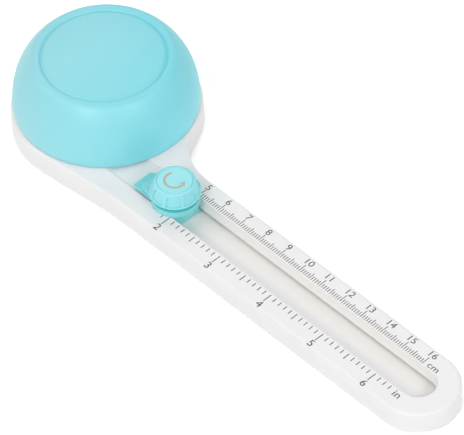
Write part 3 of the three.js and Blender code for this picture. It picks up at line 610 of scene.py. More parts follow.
def makeLever():
    # a low tab, and on it the ring with a raised nose that points outwards
    s = Sizes(**leverSizes)
    x, y = slotCentre
    lever = leverPlate("leverTab", s.tab, s.tabLowZ, s.tabHighZ)
    roundEdges(lever, lambda a, b: upright(a, b) and a.x > x + s.tabCornersX, s.tabCorner, segments=5)
    roundEdges(lever, onTop(s.tabHighZ), s.edgeRound)
    nose = leverPlate("nose", s.nose, s.tabHighZ - s.noseFoot, s.highZ)
    collar = rodBetween(s.ringRadius, s.ringLowZ, s.highZ, slotCentre, sides=96)
    for piece in (nose, collar):
        roundEdges(piece, onTop(s.highZ), s.edgeRound)
        carve(lever, piece, "UNION")
    belowRing = s.ringLowZ - past
    carve(lever, rodBetween(s.boreRadius, belowRing, s.highZ + past, slotCentre, sides=64))
    carve(lever, rodBetween(s.washerRadius, belowRing, s.washerZ, slotCentre, sides=64))
    closeUp(lever)
    editMode()
    turn = -math.radians(s.turn)
    bpy.ops.transform.rotate(value=turn, orient_axis="Z", center_override=inMetres(x, y, 0))
    objectMode()
    return smoothFaces(lever, flatFaces=True)


buttonSizes = {
    "rimRadius": 9.1,
    "rimZ": 14.05,
    "rimHeight": 0.55,
    "rimRound": 0.18,
    "ledge": 0.3,
    "wall": 1.4,
    "shoulderRadius": 7.45,
    "shoulderZ": 19.3,
    "shoulderRound": 0.6,
    "shoulderTurn": 80,  # degrees at which its rounding ends
    "topRadius": 6.3,
    "topZ": 19.6,
    "topFall": (0.1, 0.06),  # outside the line and inside it
    "lineDepth": 0.36,
    "lineWidth": 0.42,
    "lineRamp": 0.525,  # reach of the slope inside the line
    "ceilingZ": 18.4,
    "socketRadius": 2.1,
    "socketWall": 1.1,
    "socketZ": 15.4,
    "panelCount": 8,
    "panelTurn": -48,  # one panel's middle, degrees
    "panelDepth": 0.5,
    "panelLowWidth": 5.5,
    "panelHighWidth": 4.3,
    "panelRise": 4.4,  # along the flank
    "panelArch": 1.4,
    "panelDraft": 1.2,  # widening towards the outside
    "panelFoot": -0.6,  # below the ledge
    "cutterZ": (-1.4, 1),  # into the flank and out of it
    "skin": 3,  # thickness of the ring that the panels are cut out of
    "ledgeGap": 0.04,
    "steps": 128,
    "archSteps": 8,
}


def flankAt(s, along):
    # point on the button's flank, a length up from the rim's ledge
    lowRadius, lowZ = s.rimRadius - s.ledge, s.rimZ + s.rimHeight
    lean = math.atan2(lowRadius - s.shoulderRadius, s.shoulderZ - lowZ)
    return lowRadius - along * math.sin(lean), lowZ + along * math.cos(lean), lean


def makePanelCutter(s):
    # an arched plate laid on the flank, wider towards the outside
    radius, z, lean = flankAt(s, 0)
    low, high, arch = s.panelLowWidth / 2, s.panelHighWidth / 2, s.panelArch
    foot, rise = s.panelFoot, s.panelRise
    cutter = plateBetween(
        "panelCutter", *s.cutterZ, (foot, -low),
        (rise - arch, -high),
        ((rise - arch, arch - high), 90, s.archSteps),
        (rise, high - arch),
        ((rise - arch, high - arch), 90, s.archSteps),
        (foot, low),
        (foot, -low),
    )
    editMode(action="DESELECT")
    objectMode()
    for vertex in cutter.data.vertices:
        vertex.select = vertex.co.z > 0
    bpy.ops.object.mode_set(mode="EDIT")
    bpy.ops.transform.resize(value=(1, s.panelDraft, 1), center_override=(0, 0, 0))
    objectMode()
    # turned to lie on the flank with its outer face away from the axis, then moved to the ledge
    for turn in ((0, lean - math.pi / 2, 0), (0, 0, math.pi)):
        cutter.rotation_euler = turn
        settle(cutter)
    cutter.location = inMetres(radius, 0, z)
    return settle(cutter)


def makeButton():
    s = Sizes(**buttonSizes)
    rimTopZ = s.rimZ + s.rimHeight
    rim, rimRound, innerRim = s.rimRadius, s.rimRound, s.rimRadius - s.wall
    shoulder, shoulderRound = s.shoulderRadius, s.shoulderRound
    flankRadius, _, lean = flankAt(s, 0)
    top, topZ, line = s.topRadius, s.topZ, s.lineWidth / 2
    outerFall, innerFall = s.topFall
    socket, socketOutside = s.socketRadius, s.socketRadius + s.socketWall
    profile = [
        (innerRim, s.rimZ),
        *arcRun(rim - rimRound, s.rimZ + rimRound, rimRound, -90, 0, count=4),
        *arcRun(rim - rimRound, rimTopZ - rimRound, rimRound, 0, 90, count=4),
        (flankRadius, rimTopZ),
        *arcRun(shoulder - shoulderRound, s.shoulderZ - shoulderRound, shoulderRound,
                math.degrees(lean), s.shoulderTurn, count=6),
        (top + line, topZ - outerFall),
        (top, topZ - s.lineDepth),
        (top - line, topZ - innerFall),
        (top - s.lineRamp, topZ),
        (0, topZ),
        (0, s.ceilingZ),
        (socket, s.ceilingZ),
        (socket, s.socketZ),
        (socketOutside, s.socketZ),
        (socketOutside, s.ceilingZ),
        (shoulder - s.wall, s.ceilingZ),
        (innerRim, rimTopZ),
        (innerRim, s.rimZ),
    ]
    button = spunPiece("pressButton", profile, s.steps, slotCentre)
    # the cutters keep to the outer skin, so that the panels' floors follow the cone
    depth = s.panelDepth / math.cos(lean)
    highRadius, highZ, _ = flankAt(s, s.panelRise + past)
    lowRadius, lowZ, _ = flankAt(s, -past)
    ring = [
        (lowRadius - depth, lowZ),
        (lowRadius + s.skin, lowZ),
        (highRadius + s.skin, highZ),
        (highRadius - depth, highZ),
        (lowRadius - depth, lowZ),
    ]
    skin = spunPiece("skin", ring, s.steps)
    cutters = []
    for i in range(s.panelCount):
        cutter = makePanelCutter(s)
        cutter.rotation_euler[2] = math.radians(s.panelTurn + 360 * i / s.panelCount)
        cutters.append(settle(cutter))
    panels = joinPieces("panels", cutters)
    ledge = rodBetween(rim + past, lowZ - past, rimTopZ + s.ledgeGap, sides=64)
    carve(panels, ledge, overlaps=True)
    carve(panels, skin, "INTERSECT", overlaps=True)
    panels.location = inMetres(*slotCentre, 0)
    carve(button, settle(panels), overlaps=True)
    return smoothFaces(closeUp(button), angle=28)


springSizes = {
    "radius": 4.3,
    "wire": 0.345,
    "lowZ": 13.67,
    "highZ": 17.93,
    "turns": 3.5,
    "steps": 40,  # a turn
    "wireSides": 14,
}


def makeSpring():
    s = Sizes(**springSizes)
    freeSelection()
    place = inMetres(*slotCentre, s.lowZ)
    bpy.ops.mesh.primitive_circle_add(vertices=s.wireSides, radius=s.wire * mm, fill_type="NOTHING",
                                      location=place, rotation=(math.pi / 2, 0, 0))
    spring = namedPiece("coilSpring")
    bpy.ops.object.transform_apply(location=False, rotation=True, scale=True)
    editMode()
    bpy.ops.transform.translate(value=inMetres(s.radius, 0, 0))
    objectMode()
    steps = int(s.steps * s.turns)
    rise = (s.highZ - s.lowZ) * mm
    modify(spring, "SCREW", angle=math.tau * s.turns, screw_offset=rise, steps=steps, render_steps=steps)
    editMode()
    bpy.ops.mesh.fill_holes(sides=s.wireSides)
    objectMode()
    return smoothFaces(closeUp(spring), angle=50)


carriageBlock = makeBlock()
leverTab = makeLever()
pressButton = makeButton()
coilSpring = makeSpring()
print("carriage made")


# Screws with a cross recess, modelled once and copied

armScrewSizes = {
    "headRadius": 1.7,
    "lowZ": 1.02,
    "headHeight": 0.98,
    "headRound": 0.25,
    "shankRadius": 0.88,
    "tipZ": 6.55,
    "tipLength": 0.9,
    "crossLength": 1.9,
    "crossWidth": 0.42,
    "crossDepth": 0.55,
    "turns": (10, 52, 31, 78, 20, 64),  # degrees, one for each screw
}


def makeArmScrew():
    s = Sizes(**armScrewSizes)
    headTopZ = s.lowZ + s.headHeight
    edge = s.headRound
    profile = [
        (0, s.lowZ),
        *arcRun(s.headRadius - edge, s.lowZ + edge, edge, -90, 0, count=4),
        (s.headRadius, headTopZ),
        (s.shankRadius, headTopZ),
        (s.shankRadius, s.tipZ - s.tipLength),
        (0, s.tipZ),
    ]
    screw = spunPiece("armScrew1", profile, steps=40)
    halfSizes = (s.crossLength / 2, s.crossWidth / 2)
    for x, y in (halfSizes, halfSizes[::-1]):
        carve(screw, blockBetween((-x, -y, s.lowZ - past), (x, y, s.lowZ + s.crossDepth)))
    return smoothFaces(closeUp(screw))


def copyScrews(first):
    screws = [first]
    for number in range(2, len(screwPlaces) + 1):
        pickPiece(first)
        bpy.ops.object.duplicate(linked=False)
        screws.append(namedPiece(f"armScrew{number}"))
    for screw, place, turn in zip(screws, screwPlaces, armScrewSizes["turns"]):
        screw.rotation_euler[2] = math.radians(turn)
        screw.location = inMetres(*place, 0)
        settle(screw)
    return screws


armScrews = copyScrews(makeArmScrew())
print("screws made")


# Printed scales and the turn arrow on the button

scaleSizes = {
    "zeroX": 5.86,
    "inch": 25.4,
    "cmReadings": (5, 16),  # first and last
    "inchReadings": (2, 6),
    "cmTenths": (0, 0),  # single ticks before the first reading and past the last
    "inchTenths": (1, 3),
    "cmTicks": {"width": 0.28, "near": 6.9, "short": 8.85, "half": 9.68, "long": 10.5},
    "inchTicks": {"width": 0.34, "near": -7.35, "short": -9.3, "half": -10.3, "long": -11.2},
    "cmNumerals": (2.68, 10.88),  # height and lowY
    "inchNumerals": (3, -14.45),
    "numeralWiden": 1.14,
    "numeralShare": 0.73,  # a numeral's height, of the type's size
    "cmLabel": ("cm", 170.1, 7.0),  # word, x and lowY
    "inchLabel": ("in", 169.9, -10.2),
    "lowZ": 9.59,
    "highZ": 9.63,
}


def tickRow(ticks, firstX, farEnd, rows):
    # one tick, then an array modifier for each (count, step)
    s = Sizes(**scaleSizes)
    half = ticks["width"] / 2
    ends = sorted((ticks["near"], ticks[farEnd]))
    low = (firstX - half, armMiddle + ends[0], s.lowZ)
    high = (firstX + half, armMiddle + ends[1], s.highZ)
    tick = blockBetween(low, high)
    for count, step in rows:
        modify(tick, "ARRAY", count=count, use_relative_offset=False, use_constant_offset=True,
               constant_offset_displace=(step * mm, 0, 0))
    return tick


def makeTicks(unit, step):
    # step runs from one reading to the next
    ticks, tenth = scaleSizes[unit + "Ticks"], step / 10
    first, last = scaleSizes[unit + "Readings"]
    start, count = scaleSizes["zeroX"] + step * first, last - first
    rows = [
        tickRow(ticks, start, "long", [(count + 1, step)]),
        tickRow(ticks, start + step / 2, "half", [(count, step)]),
        tickRow(ticks, start + tenth, "short", [(4, tenth), (2 * count, step / 2)]),
    ]
    before, beyond = scaleSizes[unit + "Tenths"]
    for firstX, number in ((start - before * tenth, before), (start + count * step + tenth, beyond)):
        if number:
            rows.append(tickRow(ticks, firstX, "short", [(number, tenth)]))
    return joinPieces(unit + "Ticks", rows)


def printedWord(words, height, x, lowY):
    # height is that of a numeral in the same type
    s = Sizes(**scaleSizes)
    freeSelection()
    bpy.ops.object.text_add(location=(0, 0, 0))
    word = bpy.context.object
    word.data.body = words
    word.data.align_x = "CENTER"
    word.data.size = height / s.numeralShare * mm
    word.data.extrude = (s.highZ - s.lowZ) / 2 * mm
    bpy.ops.object.convert(target="MESH")
    word = bpy.context.object
    word.scale = (s.numeralWiden, 1, 1)
    word.location = inMetres(x, armMiddle + lowY, (s.lowZ + s.highZ) / 2)
    return closeUp(word)


def makeNumerals(unit, step):
    s = Sizes(**scaleSizes)
    height, lowY = scaleSizes[unit + "Numerals"]
    first, last = scaleSizes[unit + "Readings"]
    words = [printedWord(str(n), height, s.zeroX + n * step, lowY) for n in range(first, last + 1)]
    label, x, labelY = scaleSizes[unit + "Label"]
    words.append(printedWord(label, height, x, labelY))
    return joinPieces(unit + "Numerals", words)


cmTicks = makeTicks("cm", 10)
inchTicks = makeTicks("inch", scaleSizes["inch"])
cmNumerals = makeNumerals("cm", 10)
inchNumerals = makeNumerals("inch", scaleSizes["inch"])

arrowSizes = {
    "radius": 3.6,
    "width": 0.9,
    "fromDegrees": 152,
    "sweep": 210,
    "headLength": 2.2,
    "headHalfWidth": 1.25,
    "lowZ": 19.59,
    "highZ": 19.63,
    "steps": 60,
}


def makeTurnArrow():
    s = Sizes(**arrowSizes)
    x, y = slotCentre
    radius, head = s.radius, s.headHalfWidth
    inner, outer = radius - s.width / 2, radius + s.width / 2
    start, end = s.fromDegrees, s.fromDegrees + s.sweep
    tip = end + math.degrees(s.headLength / radius)

    def around(radius, degrees):
        turn = math.radians(degrees)
        return (x + radius * math.cos(turn), y + radius * math.sin(turn))

    return smoothFaces(plateBetween(
        "turnArrow", s.lowZ, s.highZ, around(inner, start),
        around(outer, start),
        (slotCentre, s.sweep, s.steps),
        around(radius + head, end),
        around(radius, tip),
        around(radius - head, end),
        around(inner, end),
        (slotCentre, -s.sweep, s.steps),
    ))


turnArrow = makeTurnArrow()
print("prints made")


# Underside: foot, grip pad and tip feet

footSizes = {
    "padRadius": 24,
    "padZ": 1.3,
    "padRound": 0.4,
    "grooves": (6, 10, 14, 18, 21.5),
    "grooveWidths": (0.9, 0.54),  # at the face and at the bottom
    "grooveDepth": 0.45,
    "tipFootRadius": 3,
    "tipFootRound": 0.5,
    "tipFootTopZ": 1.7,
    "tipFeet": ((176.97, -20.95), (176.97, -9.75)),
}


def discProfile(radius, topZ, edge, count):
    return [(0, topZ), (radius, topZ), *arcRun(radius - edge, edge, edge, 0, -90, count)]


def makeGripPad():
    s = Sizes(**footSizes)
    profile = discProfile(s.padRadius, s.padZ, s.padRound, count=4)
    wide, narrow = (width / 2 for width in s.grooveWidths)
    for radius in reversed(s.grooves):
        profile += [
            (radius + wide, 0),
            (radius + narrow, s.grooveDepth),
            (radius - narrow, s.grooveDepth),
            (radius - wide, 0),
        ]
    return smoothFaces(spunPiece("gripPad", profile + [(0, 0)]))


def makeTipFoot(name, place):
    s = Sizes(**footSizes)
    profile = discProfile(s.tipFootRadius, s.tipFootTopZ, s.tipFootRound, count=6)
    return smoothFaces(spunPiece(name, profile + [(0, 0)], steps=48, centre=place))


gripPad = makeGripPad()
tipFeet = [makeTipFoot(f"tipFoot{i + 1}", place) for i, place in enumerate(footSizes["tipFeet"])]
print("underside made")


# Finishes: shared effects are node groups, whose inputs a look fills by name

grey = (0.8, 0.8, 0.8, 1)  # what a colour input holds until a look fills it
socketKinds = {float: "NodeSocketFloat", tuple: "NodeSocketColor"}

effectSizes = {
    "cloudDetail": 3,
    "grainDetail": 2,
    "cloudRange": (0.32, 0.68),  # noise values that the clouds run between
    "cloudShare": 0.6,  # of the gloss, the rest follows the grain
    "metalDetail": 2,
    "metalSwing": 0.18,  # how far the metal's gloss varies
    "ringDistortion": 1.5,
    "ringScale": 160,
    "metalBump": (0.25, 0.01),  # strength and depth
}

# Each pair is where a painted light or shade starts and where it is full
paintedLightSizes = {
    "slotX": (45.6, 46),
    "slotZ": (2.4, 2.8),
    "slotEdge": (0, 0.05),
    "slotRun": (-6.2, 2.4),  # from the arm's centreline
    "sideTurn": 46.7,  # degrees round the dome to the middle of its deeper side, the one without the painted sheen
    "sideZ": (10, 26),
    "grooveInside": (20.5, 22.3),
    "grooveOutside": (22.9, 25),
    "grooveZ": (29.5, 30.5),
    "headRun": (0, 9),  # from the dome's side outwards
    "headZ": (9.2, 9.5),
    "ringEdge": (0.02, 0.1),  # beyond the lever's ring
    "ringLip": (-0.5, -0.3),
    "tabRise": (0.02, 0.2),  # above the lever's tab
}


def linear(red, green, blue):
    # a screen colour from 0 to 255 as the shader's own number
    shares = [c / 255 for c in (red, green, blue)]
    return [((c + 0.055) / 1.055) ** 2.4 if c > 0.04 else c / 12.92 for c in shares] + [1]


def fill(tree, node, values):
    # a socket is linked, a screen colour converted and a number set
    for label, value in values.items():
        socket = node.inputs[label]
        if isinstance(value, bpy.types.NodeSocket):
            tree.links.new(value, socket)
        else:
            socket.default_value = linear(*value) if isinstance(value, tuple) else value
    return node


def addNode(tree, kind, values=None, **settings):
    node = tree.nodes.new(kind)
    setAll(node, settings)
    return fill(tree, node, values or {})


def effectGroup(build, inputs, *numbers):
    # named after its build function, which returns what the group puts out: a colour and the numbers
    group = bpy.data.node_groups.new(build.__name__, "ShaderNodeTree")
    sockets = group.interface
    for label, start in {"colour": grey, **inputs}.items():
        kind = socketKinds[type(start)]
        sockets.new_socket(label, in_out="INPUT", socket_type=kind).default_value = start
    sockets.new_socket("colour", in_out="OUTPUT", socket_type="NodeSocketColor")
    for label in numbers:
        sockets.new_socket(label, in_out="OUTPUT", socket_type="NodeSocketFloat")
    given = group.nodes.new("NodeGroupInput").outputs
    fill(group, group.nodes.new("NodeGroupOutput"), build(group, given))
    return group


def groupNode(tree, group, look, **links):
    node = addNode(tree, "ShaderNodeGroup", node_tree=group)
    names = [socket.name for socket in node.inputs]
    fill(tree, node, {name: look[name] for name in names if name in look})
    return fill(tree, node, links).outputs


def mathNode(tree, operation, first, second):
    return addNode(tree, "ShaderNodeMath", {0: first, 1: second}, operation=operation).outputs[0]


def product(tree, first, *others):
    for other in others:
        first = mathNode(tree, "MULTIPLY", first, other)
    return first


def total(tree, first, second):
    return mathNode(tree, "ADD", first, second)


def difference(tree, first, second):
    return mathNode(tree, "SUBTRACT", first, second)


def mixNode(tree, factor, first, second):
    values = {"Factor": factor, "A": first, "B": second}
    return addNode(tree, "ShaderNodeMix", values, data_type="RGBA").outputs["Result"]


def rampNode(tree, value, low, high):
    # 0 below the low value and 1 above the high one
    values = {"Value": value, "From Min": low, "From Max": high}
    return addNode(tree, "ShaderNodeMapRange", values).outputs["Result"]


def riseNode(tree, value, pair, start=0):
    # a ramp between two places in millimetres, counted from the start
    return rampNode(tree, value, *((start + place) * mm for place in pair))


def distanceNode(tree, first, second):
    pair = addNode(tree, "ShaderNodeCombineXYZ", {"X": first, "Y": second}).outputs["Vector"]
    return addNode(tree, "ShaderNodeVectorMath", {0: pair}, operation="LENGTH").outputs["Value"]


def spotNode(tree):
    return addNode(tree, "ShaderNodeTexCoord").outputs["Object"]


def placeNodes(tree):
    return addNode(tree, "ShaderNodeSeparateXYZ", {"Vector": spotNode(tree)}).outputs


def noiseAt(tree, vector, size, detail):
    # the size of the pattern is given in millimetres
    scale = mathNode(tree, "DIVIDE", 1 / mm, size)
    values = {"Vector": vector, "Scale": scale, "Detail": detail}
    return addNode(tree, "ShaderNodeTexNoise", values).outputs["Fac"]


def swungGloss(tree, gloss, noise, spread):
    # the gloss varies about its value as the noise does about a half
    return total(tree, gloss, product(tree, difference(tree, noise, 0.5), spread))


def mouldedSkin(group, given):
    # plastic from a mould: faint clouds of tone, a fine grain and a gloss that follows both
    s = Sizes(**effectSizes)
    spot = spotNode(group)
    clouds = noiseAt(group, spot, given["cloudSize"], s.cloudDetail)
    grain = noiseAt(group, spot, given["grainSize"], s.grainDetail)
    cloudPart = product(group, clouds, s.cloudShare)
    both = total(group, cloudPart, product(group, grain, 1 - s.cloudShare))
    share = rampNode(group, clouds, *s.cloudRange)
    return {
        "colour": mixNode(group, share, given["colour"], given["cloudColour"]),
        "roughness": swungGloss(group, given["gloss"], both, given["glossSpread"]),
        "height": grain,
    }


def turnedMetal(group, given):
    # machined metal: fine rings about an upright axis through the centre, with a cloudy polish
    s = Sizes(**effectSizes)
    spots = dict(placeNodes(group).items())
    for axis in "XY":
        spots[axis] = difference(group, spots[axis], product(group, given["centre" + axis], mm))
    spot = addNode(group, "ShaderNodeCombineXYZ", spots).outputs["Vector"]
    clouds = noiseAt(group, spot, given["ringSize"], s.metalDetail)
    rings = addNode(group, "ShaderNodeTexWave", {
        "Vector": spot,
        "Scale": mathNode(group, "DIVIDE", s.ringScale, given["ringSize"]),
        "Distortion": s.ringDistortion,
        "Detail": s.metalDetail,
    }, wave_type="RINGS", rings_direction="Z")
    return {
        "colour": mixNode(group, clouds, given["colour"], given["shadeColour"]),
        "roughness": swungGloss(group, given["gloss"], clouds, s.metalSwing),
        "height": rings.outputs["Fac"],
    }


def slotTone(group, given):
    # painted light and shade on the faces within the slot: a mask by place picks them, and their colour runs
    # across the arm from a painted near colour to a painted far colour
    s = Sizes(**paintedLightSizes)
    place = placeNodes(group)
    aside = difference(group, place["Y"], armMiddle * mm)
    beyond = mathNode(group, "MAXIMUM", difference(group, place["X"], armSizes["tipX"] * mm), 0)
    inside = difference(group, product(group, given["halfWidth"], mm), distanceNode(group, beyond, aside))
    mask = product(group, riseNode(group, inside, s.slotEdge), riseNode(group, place["X"], s.slotX),
                   riseNode(group, place["Z"], s.slotZ))
    paintedLight = mixNode(group, riseNode(group, aside, s.slotRun), given["nearPaintedLight"], given["farPaintedLight"])
    return {"colour": mixNode(group, mask, given["colour"], paintedLight)}


def sideTone(group, given):
    # painted sheen and shade on the dome: its colour runs from a paler side, where a sheen is painted in, to
    # a deeper side without it; painted light lifts that deeper side again towards the rim, and a band of
    # painted shade runs along the groove
    s = Sizes(**paintedLightSizes)
    place = placeNodes(group)
    turn = math.radians(s.sideTurn)
    across = total(group, product(group, place["X"], math.cos(turn)),
                   product(group, place["Y"], math.sin(turn)))
    share = mathNode(group, "DIVIDE", across, product(group, given["halfRun"], 2 * mm))
    share = mathNode(group, "MINIMUM", total(group, share, 0.5), 1)
    share = mathNode(group, "MAXIMUM", share, 0)
    low = difference(group, 1, riseNode(group, place["Z"], s.sideZ))
    lift = product(group, low, share, given["rimLightLift"])
    radius = distanceNode(group, place["X"], place["Y"])
    inside, outside = (riseNode(group, radius, pair) for pair in (s.grooveInside, s.grooveOutside))
    band = product(group, difference(group, inside, outside), riseNode(group, place["Z"], s.grooveZ),
                   given["grooveShadeShare"])
    even = mixNode(group, share, given["colour"], given["sheenlessSideColour"])
    toned = {0: mixNode(group, band, even, given["grooveShadeColour"]), "Scale": total(group, lift, 1)}
    return {"colour": addNode(group, "ShaderNodeVectorMath", toned, operation="SCALE").outputs["Vector"]}


def headTone(group, given):
    # painted light: the head's face beside the dome is painted lighter and warmer, against the shade and the
    # teal light that the dome casts on it
    s = Sizes(**paintedLightSizes)
    place = placeNodes(group)
    away = riseNode(group, distanceNode(group, place["X"], place["Y"]), s.headRun, domeSizes["radius"])
    near = product(group, difference(group, 1, away), riseNode(group, place["Z"], s.headZ))
    return {"colour": mixNode(group, near, given["colour"], given["nearPaintedLight"])}


def tabTone(group, given):
    # painted shade: the lever's low tab and its ring's face under the button are painted deeper than the
    # rest, the face under the rim a saturated teal for the shade and the teal light bounced into that gap
    s = Sizes(**paintedLightSizes)
    place = placeNodes(group)
    along, aside = (difference(group, place[axis], middle * mm) for axis, middle in zip("XY", slotCentre))
    radius = distanceNode(group, along, aside)
    ring = leverSizes["ringRadius"]
    upper = mixNode(group, riseNode(group, radius, s.ringLip, ring), given["underRimShadeColour"], given["colour"])
    raised = riseNode(group, place["Z"], s.tabRise, leverSizes["tabHighZ"])
    low = product(group, riseNode(group, radius, s.ringEdge, ring), difference(group, 1, raised))
    return {"colour": mixNode(group, low, upper, given["tabShadeColour"])}


skinGroup = effectGroup(mouldedSkin, {
    "cloudColour": grey, "cloudSize": 18.0, "grainSize": 0.35, "gloss": 0.4, "glossSpread": 0.1,
}, "roughness", "height")
metalGroup = effectGroup(turnedMetal, {
    "shadeColour": grey, "ringSize": 0.12, "gloss": 0.3, "centreX": 0.0, "centreY": 0.0,
}, "roughness", "height")
# painted light and shade, one node group for each place, filled by a look
paintedLightGroups = {
    "head": effectGroup(headTone, {"nearPaintedLight": grey}),
    "slot": effectGroup(slotTone, {"nearPaintedLight": grey, "farPaintedLight": grey, "halfWidth": 6.65}),
    "side": effectGroup(sideTone, {
        "sheenlessSideColour": grey, "grooveShadeColour": grey, "grooveShadeShare": 0.2, "halfRun": 25.0, "rimLightLift": 0.14,
    }),
    "tab": effectGroup(tabTone, {"tabShadeColour": grey, "underRimShadeColour": grey}),
}


def newMaterial(name):
    material = bpy.data.materials.new(name)
    material.use_nodes = True
    return material, material.node_tree, material.node_tree.nodes["Principled BSDF"]


def bumpNode(tree, height, strength, depth):
    values = {"Height": height, "Strength": strength, "Distance": depth * mm}
    return addNode(tree, "ShaderNodeBump", values).outputs["Normal"]


def mouldedPlastic(name, given):
    look = {**plasticBasics, **given}
    material, tree, shader = newMaterial(name)
    skin = groupNode(tree, skinGroup, look)
    colour = skin["colour"]
    # the painted light and shade that a look asks for go over its colour
    for paintedLight, group in paintedLightGroups.items():
        if paintedLight in look:
            colour = groupNode(tree, group, look[paintedLight], colour=colour)["colour"]
    fill(tree, shader, {
        "Base Color": colour,
        "Roughness": skin["roughness"],
        "Normal": bumpNode(tree, skin["height"], look["grainStrength"], look["grainDepth"]),
        "Specular IOR Level": look["shine"],
    })
    return material


def machinedMetal(name, look):
    material, tree, shader = newMaterial(name)
    metal = groupNode(tree, metalGroup, look)
    fill(tree, shader, {
        "Base Color": metal["colour"],
        "Roughness": metal["roughness"],
        "Normal": bumpNode(tree, metal["height"], *effectSizes["metalBump"]),
        "Metallic": 1,
    })
    return material


plasticBasics = {
    "grainSize": 0.3, "grainStrength": 0.12, "grainDepth": 0.02, "glossSpread": 0.12, "shine": 0.5,
}
smallTeal = {"cloudSize": 9, "grainSize": 0.25, "gloss": 0.46, "shine": 0.6}
plateWhite = {
    "colour": (240, 238, 237), "cloudColour": (237, 236, 234), "cloudSize": 16,
    "grainStrength": 0.15, "gloss": 0.5, "shine": 0.4,
}
inkSkin = {"grainSize": 0.15, "grainStrength": 0.1, "grainDepth": 0.01, "glossSpread": 0.2}

plasticLooks = {
    "tealShell": {
        "colour": (151, 221, 229), "cloudColour": (146, 218, 227), "cloudSize": 22,
        "gloss": 0.43, "glossSpread": 0.1, "shine": 0.65,
        # painted sheen on the paler side, painted light towards the rim and painted shade along the groove
        "side": {"sheenlessSideColour": (126, 218, 229), "grooveShadeColour": (92, 202, 216), "grooveShadeShare": 0.2,
                 "halfRun": 25, "rimLightLift": 0.14},
    },
    "tealBlock": {**smallTeal, "colour": (134, 227, 229), "cloudColour": (128, 224, 226)},
    "tealLever": {
        **smallTeal, "colour": (147, 225, 233), "cloudColour": (141, 222, 230),
        # painted shade on the low tab and on the ring's face under the button's rim
        "tab": {"tabShadeColour": (124, 216, 223), "underRimShadeColour": (88, 242, 240)},
    },
    "tealButton": {
        **smallTeal, "colour": (148, 226, 233), "cloudColour": (142, 223, 230), "gloss": 0.42, "shine": 0.9,
    },
    "whiteShell": {
        "colour": (240, 239, 239), "cloudColour": (238, 237, 237), "cloudSize": 24,
        "gloss": 0.45, "shine": 0.4,
        # painted light on the head's face beside the dome
        "head": {"nearPaintedLight": (249, 240, 240)},
        # painted light on the slot's walls, most on the far wall
        "slot": {"nearPaintedLight": (252, 251, 250), "farPaintedLight": (253, 250, 247), "halfWidth": 6.65},
    },
    "slotFloor": {
        # painted light on the slot floor's near side and painted shade along the foot of the far wall
        **plateWhite, "slot": {"nearPaintedLight": (248, 248, 255), "farPaintedLight": (237, 235, 232), "halfWidth": 9},
    },
    "whitePlate": plateWhite,
    "slidingPlastic": {
        "colour": (228, 226, 216), "cloudColour": (222, 219, 208), "cloudSize": 7, "grainSize": 0.2,
        "grainStrength": 0.1, "gloss": 0.32,
    },
    "holderPlastic": {
        "colour": (233, 233, 229), "cloudColour": (228, 228, 224), "cloudSize": 6, "grainSize": 0.2,
        "gloss": 0.42,
    },
    "gripRubber": {
        "colour": (62, 65, 68), "cloudColour": (54, 57, 60), "cloudSize": 8, "grainSize": 0.4,
        "grainStrength": 0.5, "grainDepth": 0.05, "gloss": 0.82, "glossSpread": 0.15, "shine": 0.3,
    },
    "scaleInk": {
        **inkSkin, "colour": (74, 75, 78), "cloudColour": (94, 95, 98), "cloudSize": 1.6, "gloss": 0.6,
        "shine": 0.3,
    },
    "arrowInk": {
        **inkSkin, "colour": (196, 172, 142), "cloudColour": (170, 188, 178), "cloudSize": 2.4, "gloss": 0.5,
        "shine": 0.4,
    },
}

metalLooks = {
    "screwSteel": {
        "colour": (188, 191, 196), "shadeColour": (168, 171, 176), "ringSize": 0.3, "gloss": 0.32,
    },
    "bladeSteel": {
        "colour": (206, 208, 212), "shadeColour": (186, 189, 194), "ringSize": 0.2, "gloss": 0.22,
        "centreX": 52, "centreY": -20,
    },
    "springSteel": {
        "colour": (176, 178, 182), "shadeColour": (150, 152, 156), "ringSize": 0.3, "gloss": 0.3,
        "centreX": slotCentre[0], "centreY": slotCentre[1],
    },
}

finishes = {name: mouldedPlastic(name, look) for name, look in plasticLooks.items()}
finishes.update({name: machinedMetal(name, look) for name, look in metalLooks.items()})
print("finishes made")


def dress(piece, finish):
    piece.data.materials.clear()
    piece.data.materials.append(finishes[finish])


# New pieces: the body they ride on, the record's material slot, their finish and the nodes they stand for
pieceTable = [
    (domeShell, "base", "teal_plastic", "tealShell", ["palm_dome"]),
    (domeCap, "base", "teal_plastic", "tealShell", ["dome_top_cap"]),
    (gripPad, "base", "rubber", "gripRubber", ["non_slip_pad"]),
    (armShell, "arm", "white_plastic", "whiteShell", ["arm_top_shell"]),
    (tipFeet[0], "arm", "rubber", "gripRubber", ["tip_foot_1"]),
    (tipFeet[1], "arm", "rubber", "gripRubber", ["tip_foot_2"]),
    (cmTicks, "arm", "scale_print", "scaleInk", []),
    (inchTicks, "arm", "scale_print", "scaleInk", []),
    (cmNumerals, "arm", "scale_print", "scaleInk", []),
    (inchNumerals, "arm", "scale_print", "scaleInk", []),
    (carriageBlock, "carriage", "teal_plastic", "tealBlock", ["carriage_body"]),
    (coilSpring, "carriage", "steel", "springSteel", ["return_spring"]),
    (leverTab, "lever", "teal_plastic", "tealLever", ["lock_lever"]),
    (pressButton, "button", "teal_plastic", "tealButton", ["press_button"]),
    (turnArrow, "button", "arrow_print", "arrowInk", []),
]
for number, screw in enumerate(armScrews, 1):
    pieceTable.append((screw, "arm", "steel", "screwSteel", [f"arm_screw_{number}"]))

for piece, body, slotName, finish, replaced in pieceTable:
    dress(piece, finish)
    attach(piece, body)
    if replaced:
        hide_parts(*replaced)

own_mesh(coilSpring)

